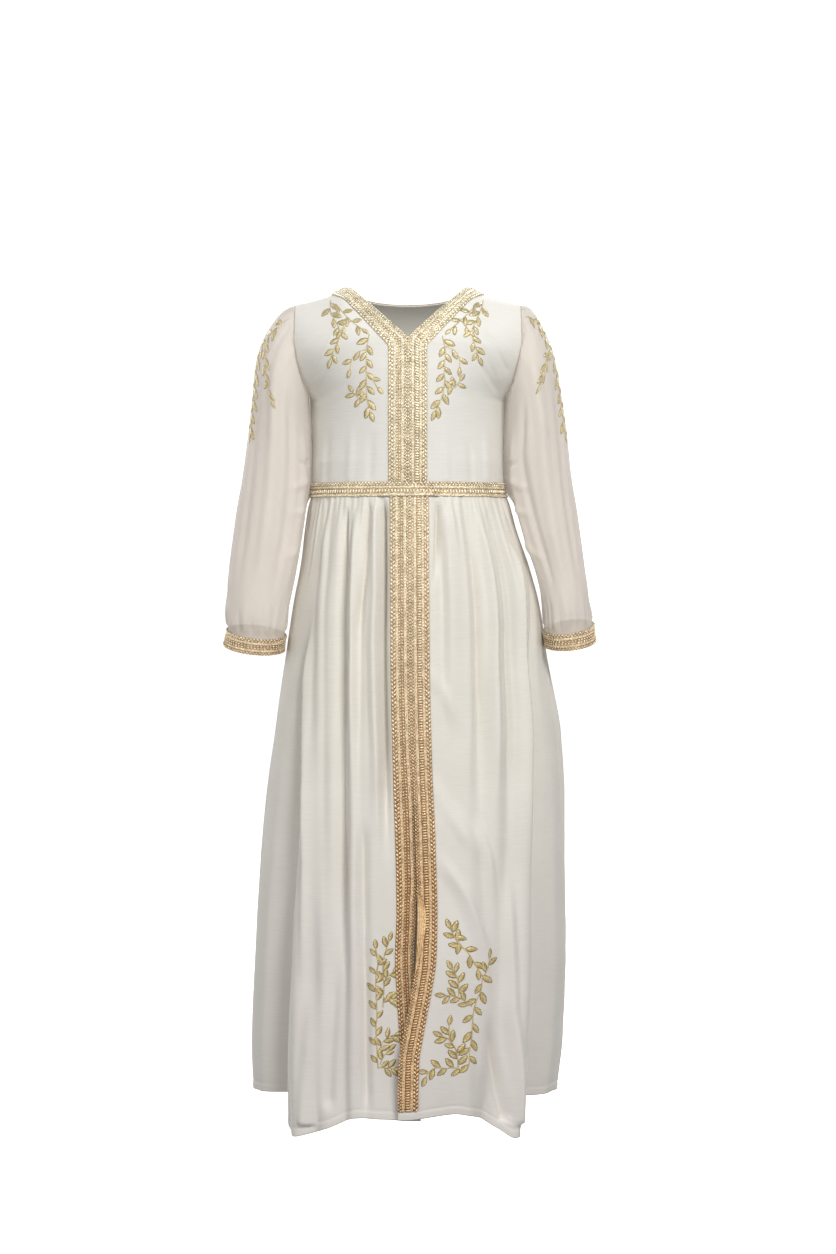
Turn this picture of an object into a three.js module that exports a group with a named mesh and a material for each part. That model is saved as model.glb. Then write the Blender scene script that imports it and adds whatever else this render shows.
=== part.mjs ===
// A child's long abaya with a kaftan cut, worn shape, empty inside.
// Millimetres, +Z up. The front faces -Y, and the garment's right is -X.
// The origin is midway between the two neck ends of the shoulder seams.
import * as THREE from "three";

// Driving dimensions
const WALL = 1.2;
const SEAM_GAP = 0.3;
const BRAID_WIDTH = 21;
const BRAID_THICKNESS = 1.5;
const BRAID_CLEARANCE = 0.35;
const BELT_WIDTH = 16.4;
const BELT_THICKNESS = 1.5;
const WAIST_Z = -227;
const UNDERARM_Z = -125;
const NECK_HALF_WIDTH = 67;
const NECK_FRONT_DEPTH = 61;
const NECK_BACK_DEPTH = 14;
const SHOULDER_ROLL = 70;
const ARMHOLE_HALF_DEPTH = 42;
const FRONT_ARMHOLE_CORNER_Z = -90;
const RIGHT = -1;
const LEFT = 1;

const COLOURS = {
  bodice: { color: 0xe4e3df, roughness: 0.75, metalness: 0 },
  skirt: { color: 0xdad7d1, roughness: 0.75, metalness: 0 },
  sleeve: { color: 0xe9e2dc, roughness: 0.7, metalness: 0 },
  braid: { color: 0xcdb482, roughness: 0.45, metalness: 0.45 },
};

// Bodice sections: half width to the side seam or the armhole, and depth at the centre
const BODICE_SECTIONS = [
  { z: -227, half: 108, front: 82, back: 78 },
  { z: -190, half: 107, front: 85, back: 80 },
  { z: -150, half: 108.5, front: 89, back: 83 },
  { z: -125, half: 110, front: 91, back: 85 },
  { z: -100, half: 119, front: 91, back: 86 },
  { z: -75, half: 124, front: 90, back: 87 },
  { z: -46, half: 126, front: 89, back: 87 },
  { z: 0, half: 126, front: 88, back: 86 },
];

// Fall of the shoulder line away from the neck
const SHOULDER_FALL = [
  { x: 0, fall: 0 },
  { x: 67, fall: 0 },
  { x: 89, fall: -9 },
  { x: 108, fall: -14.5 },
  { x: 126, fall: -18.5 },
];

// Skirt sections: half width on the right and left, depth at the front and back
const SKIRT_SECTIONS = [
  { z: -227, right: 108, left: 108, front: 82, back: 78 },
  { z: -270, right: 115, left: 121, front: 91, back: 85 },
  { z: -316, right: 122, left: 137, front: 99, back: 92 },
  { z: -350, right: 129, left: 145, front: 104, back: 97 },
  { z: -409, right: 138, left: 152, front: 110, back: 103 },
  { z: -505, right: 152, left: 169, front: 119, back: 111 },
  { z: -615, right: 164.5, left: 175, front: 127, back: 118 },
  { z: -712, right: 171, left: 175, front: 132, back: 122 },
  { z: -836, right: 173, left: 169, front: 135, back: 125 },
  { z: -927, right: 168, left: 157, front: 136, back: 126 },
];

// Front edges of the skirt: x of the right and left edge
const FRONT_EDGES = [
  { z: -227, right: 1.3, left: 1.9 },
  { z: -420, right: 2.4, left: 3.0 },
  { z: -544, right: 5.2, left: 5.8 },
  { z: -629, right: 8.0, left: 8.6 },
  { z: -694, right: 9.2, left: 10.1 },
  { z: -748, right: 7.4, left: 8.6 },
  { z: -781, right: 9.0, left: 4.3 },
  { z: -829, right: 12.0, left: -4.3 },
  { z: -862, right: 14.0, left: -9.2 },
  { z: -927, right: 14.5, left: -10.3 },
];
const BRAID_END = 0.985;
const LAP = { starts: -640, full: -745, over: 3.6, under: 2.2, reach: 24, fade: 50 };

// Level of the hem round each side, by angle from the centre front
const HEM_LEVELS = [
  { angle: 0, right: -914, left: -912 },
  { angle: 18, right: -906, left: -907 },
  { angle: 30, right: -916, left: -914 },
  { angle: 43, right: -926, left: -927 },
  { angle: 60, right: -904, left: -910 },
  { angle: 90, right: -906, left: -909 },
  { angle: 120, right: -916, left: -916 },
  { angle: 180, right: -920, left: -920 },
];

// Skirt folds: angle from the centre front, width towards it and away from it,
// and height outwards (minus is a valley), each near the top, half way and at the hem
const FOLDS = [
  { side: RIGHT, top: 19, middle: 12.5, hem: 12, inner: 6, outer: 5, rise: [3, 5, 3] },
  { side: RIGHT, top: 28, middle: 19, hem: 20, inner: 7, outer: 4, rise: [3, 7, 5] },
  { side: RIGHT, top: 41, middle: 31, hem: 31, inner: 8, outer: 8, rise: [3, 5, 7] },
  { side: RIGHT, top: 50, middle: 42, hem: 43, inner: 9, outer: 8, rise: [0, 7, 14] },
  { side: RIGHT, top: 60, middle: 53, hem: 61, inner: 10, outer: 14, rise: [0, -12, -38] },
  { side: RIGHT, top: 72, middle: 78, hem: 86, inner: 14, outer: 12, rise: [0, 0, 6] },
  { side: RIGHT, top: 112, middle: 110, hem: 108, inner: 14, outer: 11, rise: [0, -4, -14] },
  { side: RIGHT, top: 128, middle: 130, hem: 129, inner: 12, outer: 12, rise: [2, 5, 8] },
  { side: RIGHT, top: 148, middle: 149, hem: 147, inner: 10, outer: 9, rise: [-2, -6, -11] },
  { side: RIGHT, top: 163, middle: 165, hem: 163, inner: 9, outer: 8, rise: [2, 4, 7] },
  { side: LEFT, top: 15.5, middle: 13, hem: 13, inner: 4, outer: 4, rise: [-3, 0, 0] },
  { side: LEFT, top: 28, middle: 22, hem: 22, inner: 7, outer: 6, rise: [2, 2, 0] },
  { side: LEFT, top: 42, middle: 33, hem: 32, inner: 6, outer: 6, rise: [2, 5, -7] },
  { side: LEFT, top: 55, middle: 46, hem: 45, inner: 10, outer: 8, rise: [0, 7, 14] },
  { side: LEFT, top: 66, middle: 57, hem: 63, inner: 10, outer: 14, rise: [0, -10, -34] },
  { side: LEFT, top: 74, middle: 80, hem: 88, inner: 14, outer: 12, rise: [0, 0, 6] },
  { side: LEFT, top: 108, middle: 107, hem: 106, inner: 13, outer: 13, rise: [0, -5, -12] },
  { side: LEFT, top: 126, middle: 125, hem: 127, inner: 12, outer: 11, rise: [2, 6, 9] },
  { side: LEFT, top: 143, middle: 144, hem: 145, inner: 10, outer: 10, rise: [-2, -5, -12] },
  { side: LEFT, top: 158, middle: 160, hem: 161, inner: 9, outer: 9, rise: [2, 5, 8] },
];
const FOLD_LEVELS = { flat: -238, top: -300, middle: -600, hem: -925 };

// The left front stands proud between its edge and this line
const PROUD_LINE = [
  { z: -520, x: 14 },
  { z: -560, x: 36 },
  { z: -629, x: 78 },
  { z: -718, x: 84 },
  { z: -783, x: 88 },
  { z: -927, x: 92 },
];
const PROUD = { height: 6, slope: 16, starts: -520, full: -600, ends: -850, gone: -927 };

// Sleeve sections from the armhole to the cuff: outermost and innermost point, centre y,
// half depth, and how far the front of the section drops below its centre
const SLEEVES = {
  right: [
    { outX: 140, outZ: -26, inX: 112.2, inZ: -131, y: -1, depth: 46, drop: 0 },
    { outX: 152, outZ: -39, inX: 112.6, inZ: -140, y: -3, depth: 49, drop: 0 },
    { outX: 164, outZ: -60, inX: 112.8, inZ: -152, y: -5, depth: 50, drop: 0 },
    { outX: 171, outZ: -85, inX: 112.8, inZ: -168, y: -7, depth: 49, drop: 0 },
    { outX: 175, outZ: -125, inX: 112.7, inZ: -190, y: -10, depth: 47, drop: 1 },
    { outX: 179.5, outZ: -165, inX: 112.6, inZ: -214, y: -12, depth: 45, drop: 2 },
    { outX: 186, outZ: -215, inX: 114.4, inZ: -246, y: -15, depth: 43, drop: 3 },
    { outX: 193.8, outZ: -269, inX: 119.6, inZ: -284, y: -18, depth: 42, drop: 4 },
    { outX: 200, outZ: -316, inX: 126.5, inZ: -324, y: -21, depth: 41, drop: 5 },
    { outX: 203.4, outZ: -355, inX: 133.5, inZ: -358, y: -23, depth: 38, drop: 6 },
    { outX: 202.4, outZ: -374, inX: 137, inZ: -380, y: -24, depth: 33, drop: 7 },
    { outX: 201.4, outZ: -382, inX: 138.2, inZ: -389, y: -24.5, depth: 31, drop: 7 },
    { outX: 203.4, outZ: -391, inX: 139.2, inZ: -398, y: -24.8, depth: 31, drop: 7 },
    { outX: 205.5, outZ: -400, inX: 140.2, inZ: -407, y: -25, depth: 31, drop: 7 },
  ],
  left: [
    { outX: 137, outZ: -23, inX: 112.2, inZ: -131, y: -1, depth: 46, drop: 0 },
    { outX: 147, outZ: -35, inX: 112.8, inZ: -140, y: -3, depth: 49, drop: 0 },
    { outX: 158, outZ: -57, inX: 113, inZ: -152, y: -5, depth: 50, drop: 0 },
    { outX: 165.5, outZ: -80, inX: 113.2, inZ: -168, y: -6, depth: 49, drop: 0 },
    { outX: 173.3, outZ: -125, inX: 113.5, inZ: -190, y: -8, depth: 47, drop: 1 },
    { outX: 179, outZ: -166, inX: 114.6, inZ: -214, y: -9, depth: 45, drop: 2 },
    { outX: 184, outZ: -215, inX: 121, inZ: -246, y: -10, depth: 43, drop: 3 },
    { outX: 191.4, outZ: -269, inX: 132, inZ: -284, y: -12, depth: 41, drop: 4 },
    { outX: 197.8, outZ: -316, inX: 144.5, inZ: -322, y: -14, depth: 40, drop: 5 },
    { outX: 203, outZ: -350, inX: 151, inZ: -354, y: -16, depth: 37, drop: 6 },
    { outX: 206, outZ: -368, inX: 152.6, inZ: -377, y: -17, depth: 32, drop: 7 },
    { outX: 207.6, outZ: -376, inX: 153.4, inZ: -384, y: -17.5, depth: 30, drop: 7 },
    { outX: 208.6, outZ: -386, inX: 154.4, inZ: -393, y: -17.8, depth: 30, drop: 7 },
    { outX: 209.5, outZ: -396, inX: 155.4, inZ: -402, y: -18, depth: 30, drop: 7 },
  ],
};
const CUFF_SECTIONS = 3;

// Facets
const SKIRT_ROWS = 12;
const SKIRT_COLUMNS = 17;
const SKIRT_BACK_COLUMNS = 28;
const BRAID_COLUMNS = 2;
const BODICE_COLUMNS = 6;
const BODICE_RAYS = 20;
const BODICE_RAY_STEPS = 6;
const SLEEVE_SIDES = 18;
const BELT_SIDES = 36;
const BELT_FRONT_COLUMNS = [-46, -36, -25, -12, 0, 12, 25, 36, 46];

const { sin, cos, asin, acos, sqrt, min, max, abs, sign, PI } = Math;
const DEGREE = PI / 180;
const mix = (a, b, t) => a + (b - a) * t;
const clamp01 = (t) => min(1, max(0, t));
const smooth = (t) => clamp01(t) ** 2 * (3 - 2 * clamp01(t));
const rise = (from, to, at) => smooth((at - from) / (to - from));
const range = (count) => Array.from({ length: count }, (_, i) => i);
const steps = (from, to, count) => range(count + 1).map((i) => mix(from, to, i / count));

// Smooth value of one named column of a table, at any value of its key column
function lookup(table, key, name, at) {
  const ascending = table[0][key] < table[table.length - 1][key];
  const rows = ascending ? table : [...table].reverse();
  const last = rows.length - 1;
  const place = min(max(at, rows[0][key]), rows[last][key]);
  let i = 0;
  while (i < last - 1 && place > rows[i + 1][key]) i += 1;
  const slope = (j) => (rows[j + 1][name] - rows[j][name]) / (rows[j + 1][key] - rows[j][key]);
  const tangent = (j) => {
    if (j === 0) return slope(0);
    if (j === last) return slope(last - 1);
    const before = slope(j - 1);
    const after = slope(j);
    return before * after <= 0 ? 0 : (2 * before * after) / (before + after);
  };
  const width = rows[i + 1][key] - rows[i][key];
  const t = (place - rows[i][key]) / width;
  const a = (1 + 2 * t) * (1 - t) ** 2 * rows[i][name] + t * (1 - t) ** 2 * width * tangent(i);
  const b = t * t * (3 - 2 * t) * rows[i + 1][name] - t * t * (1 - t) * width * tangent(i + 1);
  return a + b;
}

// A closed wall on a grid of surface points, between two distances from the surface
function wall(name, finish, surface, us, vs, from, to, wrapped = false) {
  const tiny = 1e-3;
  const low = { u: us[0], v: vs[0] };
  const high = { u: us[us.length - 1], v: vs[vs.length - 1] };
  const outward = (u, v) => {
    const u0 = wrapped ? u - tiny : max(low.u, u - tiny);
    const u1 = wrapped ? u + tiny : min(high.u, u + tiny);
    const along = surface(u1, v).sub(surface(u0, v));
    const up = surface(u, min(high.v, v + tiny)).sub(surface(u, max(low.v, v - tiny)));
    return along.cross(up).normalize();
  };
  const columns = wrapped ? us.length - 1 : us.length;
  const positions = [];
  for (const distance of [from, to]) {
    for (const v of vs) {
      for (const u of us.slice(0, columns)) {
        const lift = typeof distance === "function" ? distance(u, v) : distance;
        positions.push(...surface(u, v).addScaledVector(outward(u, v), lift).toArray());
      }
    }
  }
  const at = (layer, i, j) => (layer * vs.length + j) * columns + (i % columns);
  const faces = [];
  const corner = (i) => new THREE.Vector3().fromArray(positions, i * 3);
  const quad = (a, b, c, d) => {
    const short = corner(a).distanceTo(corner(c)) <= corner(b).distanceTo(corner(d));
    faces.push(...(short ? [a, b, c, a, c, d] : [b, c, d, b, d, a]));
  };
  const last = { i: us.length - 1, j: vs.length - 1 };
  for (const j of range(last.j)) {
    for (const i of range(last.i)) {
      quad(at(1, i, j), at(1, i + 1, j), at(1, i + 1, j + 1), at(1, i, j + 1));
      quad(at(0, i, j), at(0, i, j + 1), at(0, i + 1, j + 1), at(0, i + 1, j));
    }
  }
  for (const i of range(last.i)) {
    quad(at(0, i, 0), at(0, i + 1, 0), at(1, i + 1, 0), at(1, i, 0));
    quad(at(0, i + 1, last.j), at(0, i, last.j), at(1, i, last.j), at(1, i + 1, last.j));
  }
  if (!wrapped) {
    for (const j of range(last.j)) {
      quad(at(0, 0, j + 1), at(0, 0, j), at(1, 0, j), at(1, 0, j + 1));
      quad(at(0, last.i, j), at(0, last.i, j + 1), at(1, last.i, j + 1), at(1, last.i, j));
    }
  }
  const geometry = new THREE.BufferGeometry();
  geometry.setAttribute("position", new THREE.Float32BufferAttribute(positions, 3));
  geometry.setIndex(faces);
  geometry.computeVertexNormals();
  const mesh = new THREE.Mesh(geometry, new THREE.MeshStandardMaterial(COLOURS[finish]));
  mesh.name = name;
  return mesh;
}

// Mirrored grids are walked the other way, so that their walls still face out
const ordered = (side, values) => (side === LEFT ? values : values.map((value) => -value).reverse());

// Bodice: a point by its x and its height below the shoulder line
function armholeDepth(z) {
  const middle = UNDERARM_Z / 2;
  const across = clamp01(1 - ((z - middle) / middle) ** 2);
  return z > UNDERARM_Z ? ARMHOLE_HALF_DEPTH * sqrt(across) : 0;
}

function bodicePoint(x, z, face) {
  const half = lookup(BODICE_SECTIONS, "z", "half", z);
  const turn = z > -SHOULDER_ROLL ? sqrt(1 - (1 + z / SHOULDER_ROLL) ** 2) : 1;
  const centre = lookup(BODICE_SECTIONS, "z", face, z) * turn;
  const edge = max(SEAM_GAP / 2, armholeDepth(z));
  const bend = mix(1, 0.86, rise(UNDERARM_Z, UNDERARM_Z + 25, z));
  const share = min(1, abs(x) / half);
  const flat = sqrt(1 - bend * bend);
  const round = (sqrt(max(0, 1 - (bend * share) ** 2)) - flat) / (1 - flat);
  const y = edge + (max(centre, edge) - edge) * round;
  const fall = lookup(SHOULDER_FALL, "x", "fall", abs(x)) * rise(UNDERARM_Z, 0, z);
  return new THREE.Vector3(x, face === "front" ? -y : y, z + fall);
}

// Rows of the front run from the centre edge or neck edge, past the braid, to the side.
// v is 0 at the waist, 1 at the foot of the V and 2 at the shoulder seam.
function frontRow(v) {
  const waist = WAIST_Z + SEAM_GAP / 2;
  const inner = SEAM_GAP / 2;
  if (v <= 1) {
    return {
      edge: { x: inner, z: mix(waist, -NECK_FRONT_DEPTH, v) },
      braid: { x: inner + BRAID_WIDTH, z: mix(waist, -SHOULDER_ROLL, v) },
      side: { z: mix(waist, FRONT_ARMHOLE_CORNER_Z, v) },
    };
  }
  const turn = mix(90, 0.1, v - 1) * DEGREE;
  const up = 1 - cos(turn);
  return {
    edge: { x: mix(NECK_HALF_WIDTH, inner, up), z: -NECK_FRONT_DEPTH * up },
    braid: { x: mix(NECK_HALF_WIDTH + 18.5, inner + BRAID_WIDTH, up), z: -SHOULDER_ROLL * up },
    side: { z: FRONT_ARMHOLE_CORNER_Z * up },
  };
}

const bodiceFront = (side) => (signed, v) => {
  const u = abs(signed);
  const { edge, braid, side: end } = frontRow(v);
  const endX = lookup(BODICE_SECTIONS, "z", "half", end.z);
  let x = mix(edge.x, braid.x, u);
  let z = mix(edge.z, braid.z, u);
  if (u > 1) {
    const bend = mix(1, 0.86, rise(UNDERARM_Z, UNDERARM_Z + 25, end.z));
    const start = asin((bend * braid.x) / endX);
    x = (endX * sin(mix(start, asin(bend), u - 1))) / bend;
    z = mix(braid.z, end.z, (x - braid.x) / (endX - braid.x));
  }
  return bodicePoint(side * x, z, "front");
};
const FRONT_ROWS = [0, 0.15, 0.3, 0.45, 0.6, 0.744, 0.87, 1, 1.15, 1.3, 1.45, 1.6, 1.74, 1.86, 1.95, 2];

// Rays of the back fan out from the neck edge, past the braid, to the waist, side and armhole.
// u is -1 at the right shoulder seam, 0 at the centre back and 1 at the left shoulder seam.
const BACK_CORNERS = { waist: 0.4, underarm: 0.7 };

function backEnd(u) {
  const waist = WAIST_Z + SEAM_GAP / 2;
  const { waist: corner, underarm } = BACK_CORNERS;
  const halfAt = (z) => lookup(BODICE_SECTIONS, "z", "half", z);
  if (u <= corner) return { x: (halfAt(waist) * sin((u / corner) * 90 * DEGREE)), z: waist };
  if (u <= underarm) {
    const z = mix(waist, UNDERARM_Z, (u - corner) / (underarm - corner));
    return { x: halfAt(z), z };
  }
  const turn = mix(90, 0.1, (u - underarm) / (1 - underarm)) * DEGREE;
  const z = UNDERARM_Z * (1 - cos(turn));
  return { x: halfAt(z), z };
}

function bodiceBack(signed, v) {
  const u = abs(signed);
  const around = min(u * 90, 89.9) * DEGREE;
  const neck = { x: NECK_HALF_WIDTH * sin(around), z: -NECK_BACK_DEPTH * cos(around) };
  const braid = { x: (NECK_HALF_WIDTH + 18.5) * sin(around), z: -(NECK_BACK_DEPTH + 13) * cos(around) };
  const end = backEnd(u);
  const far = v > 1 ? sin((v - 1) * 80 * DEGREE) / sin(80 * DEGREE) : 0;
  const x = v > 1 ? mix(braid.x, end.x, far) : mix(neck.x, braid.x, v);
  const z = v > 1 ? mix(braid.z, end.z, far) : mix(neck.z, braid.z, v);
  return bodicePoint(sign(signed) * x, z, "back");
}

function bodice() {
  const half = WALL / 2;
  const across = [...steps(0, 1, BRAID_COLUMNS), ...steps(1, 2, BODICE_COLUMNS).slice(1)];
  const fronts = [RIGHT, LEFT].map((side) => {
    const name = side === RIGHT ? "bodice_front_right" : "bodice_front_left";
    return wall(name, "bodice", bodiceFront(side), ordered(side, across), FRONT_ROWS, -half, half);
  });
  const rays = steps(-1, 1, BODICE_RAYS);
  const out = [...steps(0, 1, BRAID_COLUMNS), ...steps(1, 2, BODICE_RAY_STEPS).slice(1)];
  const back = wall("bodice_back", "bodice", bodiceBack, rays, out, -half, half);
  return [...fronts, back];
}

// Braid up each bodice front, round the neck and on to the centre back
const bodiceBraid = (side) => (signed, v) => {
  if (v <= 2) return bodiceFront(side)(signed, v);
  return bodiceBack(side * mix(1, 0.002, v - 2), abs(signed));
};

// Skirt: a point by its side, angle from the centre front and level, with an extra lift
function foldHeight(side, angle, z) {
  const { flat, top, middle, hem } = FOLD_LEVELS;
  let height = 0;
  for (const fold of FOLDS.filter((row) => row.side === side)) {
    const track = [
      { z: flat, angle: fold.top, rise: 0 },
      { z: top, angle: fold.top, rise: fold.rise[0] },
      { z: middle, angle: fold.middle, rise: fold.rise[1] },
      { z: hem, angle: fold.hem, rise: fold.rise[2] },
    ];
    const away = angle - lookup(track, "z", "angle", z);
    const share = away / (away < 0 ? fold.inner : fold.outer);
    if (abs(share) < 1) height += lookup(track, "z", "rise", z) * cos((share * PI) / 2) ** 2;
  }
  return height;
}

function skirtPoint(side, angle, z, lift) {
  const half = lookup(SKIRT_SECTIONS, "z", side === RIGHT ? "right" : "left", z);
  const depth = lookup(SKIRT_SECTIONS, "z", angle < 90 ? "front" : "back", z);
  const turn = angle * DEGREE;
  const out = new THREE.Vector3((side * sin(turn)) / half, -cos(turn) / depth, 0).normalize();
  const ring = new THREE.Vector3(side * half * sin(turn), -depth * cos(turn), z);
  return ring.addScaledVector(out, lift + foldHeight(side, abs(angle), z));
}

function frontLift(side, fromEdge, x, z) {
  const near = 1 - rise(LAP.reach, LAP.reach + LAP.fade, fromEdge);
  const lap = near * (1 - rise(LAP.full, LAP.starts, z));
  if (side === RIGHT) return -LAP.under * lap;
  const inside = 1 - rise(-PROUD.slope, PROUD.slope, x - lookup(PROUD_LINE, "z", "x", z));
  const level = (1 - rise(PROUD.full, PROUD.starts, z)) * rise(PROUD.gone, PROUD.ends, z);
  return LAP.over * lap + PROUD.height * inside * level;
}

// u is 0 at the front edge, 1 past the braid and 2 at the side seam; v is 0 at the waist, 1 at the hem
const skirtFront = (side) => (signed, v) => {
  const u = abs(signed);
  const name = side === RIGHT ? "right" : "left";
  const top = WAIST_Z - SEAM_GAP;
  const level = mix(top, -925, v);
  const half = lookup(SKIRT_SECTIONS, "z", name, level);
  const edge = lookup(FRONT_EDGES, "z", name, level);
  const start = side === RIGHT ? -edge : edge;
  const angleOf = (x) => asin(x / half) / DEGREE;
  const braid = angleOf(start + BRAID_WIDTH);
  const spread = mix(1, 1.35, v);
  const angle = u <= 1 ? angleOf(start + BRAID_WIDTH * u) : mix(braid, 89.9, (u - 1) ** spread);
  const z = mix(top, lookup(HEM_LEVELS, "angle", name, max(0, angle)), v);
  const x = half * sin(angle * DEGREE);
  return skirtPoint(side, angle, z, frontLift(side, x - start, x, z));
};

// u is -1 at the right side seam, 0 at the centre back and 1 at the left side seam
function skirtBack(u, v) {
  const side = u < 0 ? RIGHT : LEFT;
  const angle = mix(180, 90.1, abs(u));
  const hem = lookup(HEM_LEVELS, "angle", side === RIGHT ? "right" : "left", angle);
  return skirtPoint(side, angle, mix(WAIST_Z - SEAM_GAP, hem, v), 0);
}

function skirt() {
  const half = WALL / 2;
  const down = [0, 0.014, ...steps(0.06, BRAID_END, SKIRT_ROWS), 1];
  const across = [...steps(0, 1, BRAID_COLUMNS), ...steps(1, 2, SKIRT_COLUMNS).slice(1)];
  const fronts = [RIGHT, LEFT].map((side) => {
    const name = side === RIGHT ? "skirt_front_right" : "skirt_front_left";
    return wall(name, "skirt", skirtFront(side), ordered(side, across), down, -half, half);
  });
  const around = steps(-1, 1, SKIRT_BACK_COLUMNS);
  return [...fronts, wall("skirt_back", "skirt", skirtBack, around, down, -half, half)];
}

// Braids: the same points as the panel under them, moved out
function braids() {
  const under = WALL / 2 + BRAID_CLEARANCE;
  const outer = under + BRAID_THICKNESS;
  const width = steps(0, 1, BRAID_COLUMNS);
  const round = [...FRONT_ROWS, ...steps(2, 3, BODICE_RAYS / 2).slice(1)];
  const down = [0.0016, 0.014, ...steps(0.06, BRAID_END, SKIRT_ROWS)];
  return [RIGHT, LEFT].flatMap((side) => {
    const name = side === RIGHT ? "right" : "left";
    const across = ordered(side, width);
    return [
      wall(`braid_neck_${name}`, "braid", bodiceBraid(side), across, round, under, outer),
      wall(`braid_skirt_${name}`, "braid", skirtFront(side), across, down, -outer, -under),
    ];
  });
}

// Belt: u is the angle from the centre back in turns to the right, v runs up
function beltPoint(u, v) {
  const turn = -u * 2 * PI;
  const y = cos(turn);
  const z = WAIST_Z + BELT_WIDTH * (v - 0.5);
  const side = sin(turn) < 0 ? RIGHT : LEFT;
  const angle = acos(-y) / DEGREE;
  if (z >= WAIST_Z) {
    const half = lookup(BODICE_SECTIONS, "z", "half", z);
    const depth = lookup(BODICE_SECTIONS, "z", y < 0 ? "front" : "back", z);
    return new THREE.Vector3(half * sin(turn), depth * y, z);
  }
  return skirtPoint(side, angle, z, 0);
}

function beltLift(extra) {
  return (u) => {
    const x = 108 * sin(u * 2 * PI);
    const front = cos(u * 2 * PI) < 0;
    const over = front ? 1 - rise(BRAID_WIDTH + 5, BRAID_WIDTH + 14, abs(x)) : 0;
    return WALL / 2 + 0.6 + over * (BRAID_THICKNESS + 0.6) + extra;
  };
}

function belt() {
  const frontTurns = BELT_FRONT_COLUMNS.map((x) => 0.5 + asin(x / 108) / (2 * PI));
  const reach = frontTurns[0];
  const behind = BELT_SIDES / 2;
  const front = frontTurns.slice(1, -1);
  const around = [...steps(0, reach, behind), ...front, ...steps(1 - reach, 1, behind)];
  const up = [0, 0.5, 1];
  return wall("belt", "braid", beltPoint, around, up, beltLift(0), beltLift(BELT_THICKNESS), true);
}

// Sleeves: u is the turn from the top of the section towards the front, v counts sections
const sleeve = (side) => {
  const rows = SLEEVES[side === RIGHT ? "right" : "left"];
  return (u, v) => {
    const turn = u * 2 * PI;
    const at = (i) => {
      if (i === 0) {
        const z = (UNDERARM_Z * (1 - cos(turn))) / 2;
        const x = lookup(BODICE_SECTIONS, "z", "half", z);
        const gap = mix(0.7, 1.7, (1 - cos(turn)) / 2) + 0.4 * sin(turn) ** 2;
        const fall = lookup(SHOULDER_FALL, "x", "fall", x) * rise(UNDERARM_Z, 0, z);
        return new THREE.Vector3(x + gap, -ARMHOLE_HALF_DEPTH * sin(turn), z + fall);
      }
      const { outX, outZ, inX, inZ, y, depth, drop } = rows[i - 1];
      const across = (1 + cos(turn)) / 2;
      const z = mix(inZ, outZ, across) - drop * sin(turn);
      return new THREE.Vector3(mix(inX, outX, across), y - depth * sin(turn), z);
    };
    const i = min(Math.floor(v), rows.length - 1);
    const point = at(i).lerp(at(i + 1), v - i);
    point.x *= side;
    return point;
  };
};

function sleeves() {
  const half = WALL / 2;
  const around = steps(0, 1, SLEEVE_SIDES);
  const under = half + BRAID_CLEARANCE;
  const outer = under + BRAID_THICKNESS;
  return [RIGHT, LEFT].flatMap((side) => {
    const name = side === RIGHT ? "right" : "left";
    const count = SLEEVES[name].length;
    const down = steps(0, count, count);
    const cuff = steps(count - CUFF_SECTIONS + 1, count, CUFF_SECTIONS - 1);
    const layers = (a, b) => (side === LEFT ? [a, b] : [-b, -a]);
    return [
      wall(`sleeve_${name}`, "sleeve", sleeve(side), around, down, ...layers(-half, half), true),
      wall(`braid_cuff_${name}`, "braid", sleeve(side), around, cuff, ...layers(under, outer), true),
    ];
  });
}

const garment = new THREE.Group();
garment.add(...bodice(), ...skirt(), ...sleeves(), ...braids(), belt());
export default garment;
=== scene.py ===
"""A child's long abaya with a kaftan cut, gold braid edges and leaf embroidery, in the shape it takes on a
wearer.
"""

import logging
import math
import random
from collections.abc import Callable
from dataclasses import dataclass, field, replace
from enum import Enum
from functools import partial

import bmesh
import bpy
import numpy as np
from mathutils import Matrix, Vector


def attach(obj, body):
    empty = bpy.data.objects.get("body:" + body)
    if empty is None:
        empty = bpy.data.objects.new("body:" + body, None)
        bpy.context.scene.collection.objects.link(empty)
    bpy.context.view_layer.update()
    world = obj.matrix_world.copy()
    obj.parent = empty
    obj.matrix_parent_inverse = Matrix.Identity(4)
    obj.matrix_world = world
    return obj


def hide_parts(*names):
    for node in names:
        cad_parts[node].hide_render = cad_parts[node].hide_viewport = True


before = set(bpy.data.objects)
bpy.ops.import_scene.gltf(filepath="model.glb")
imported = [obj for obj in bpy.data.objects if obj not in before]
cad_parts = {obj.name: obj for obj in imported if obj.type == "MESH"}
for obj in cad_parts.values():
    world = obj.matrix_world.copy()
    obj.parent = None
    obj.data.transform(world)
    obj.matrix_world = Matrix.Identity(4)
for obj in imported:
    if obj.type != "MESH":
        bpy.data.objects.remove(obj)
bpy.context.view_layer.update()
LOG = logging.getLogger("abaya")
MM = 0.001
DEGREE = math.pi / 180
WHITE = (1, 1, 1, 1)

# Levels and sizes of the garment in millimetres.
WAIST = -227.0
UNDERARM = -125.0
ARMHOLE_HALF_DEPTH = 42.0
CLOTH_TO_BRAID = 0.95

# Short names of types.
Array = np.ndarray
Mesh = bpy.types.Mesh
Piece = bpy.types.Object
Socket = bpy.types.NodeSocket
Work = bmesh.types.BMesh
Line = tuple[tuple[float, float], ...]
Triple = tuple[float, float, float]


class Side(Enum):
    """Side of the garment: its right lies towards -X."""

    RIGHT = -1
    LEFT = 1

    @property
    def word(self) -> str:
        """Name of the side, as the nodes have it."""
        return self.name.lower()


class Face(Enum):
    """Front or back half of the garment."""

    FRONT = -1
    BACK = 1


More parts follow.
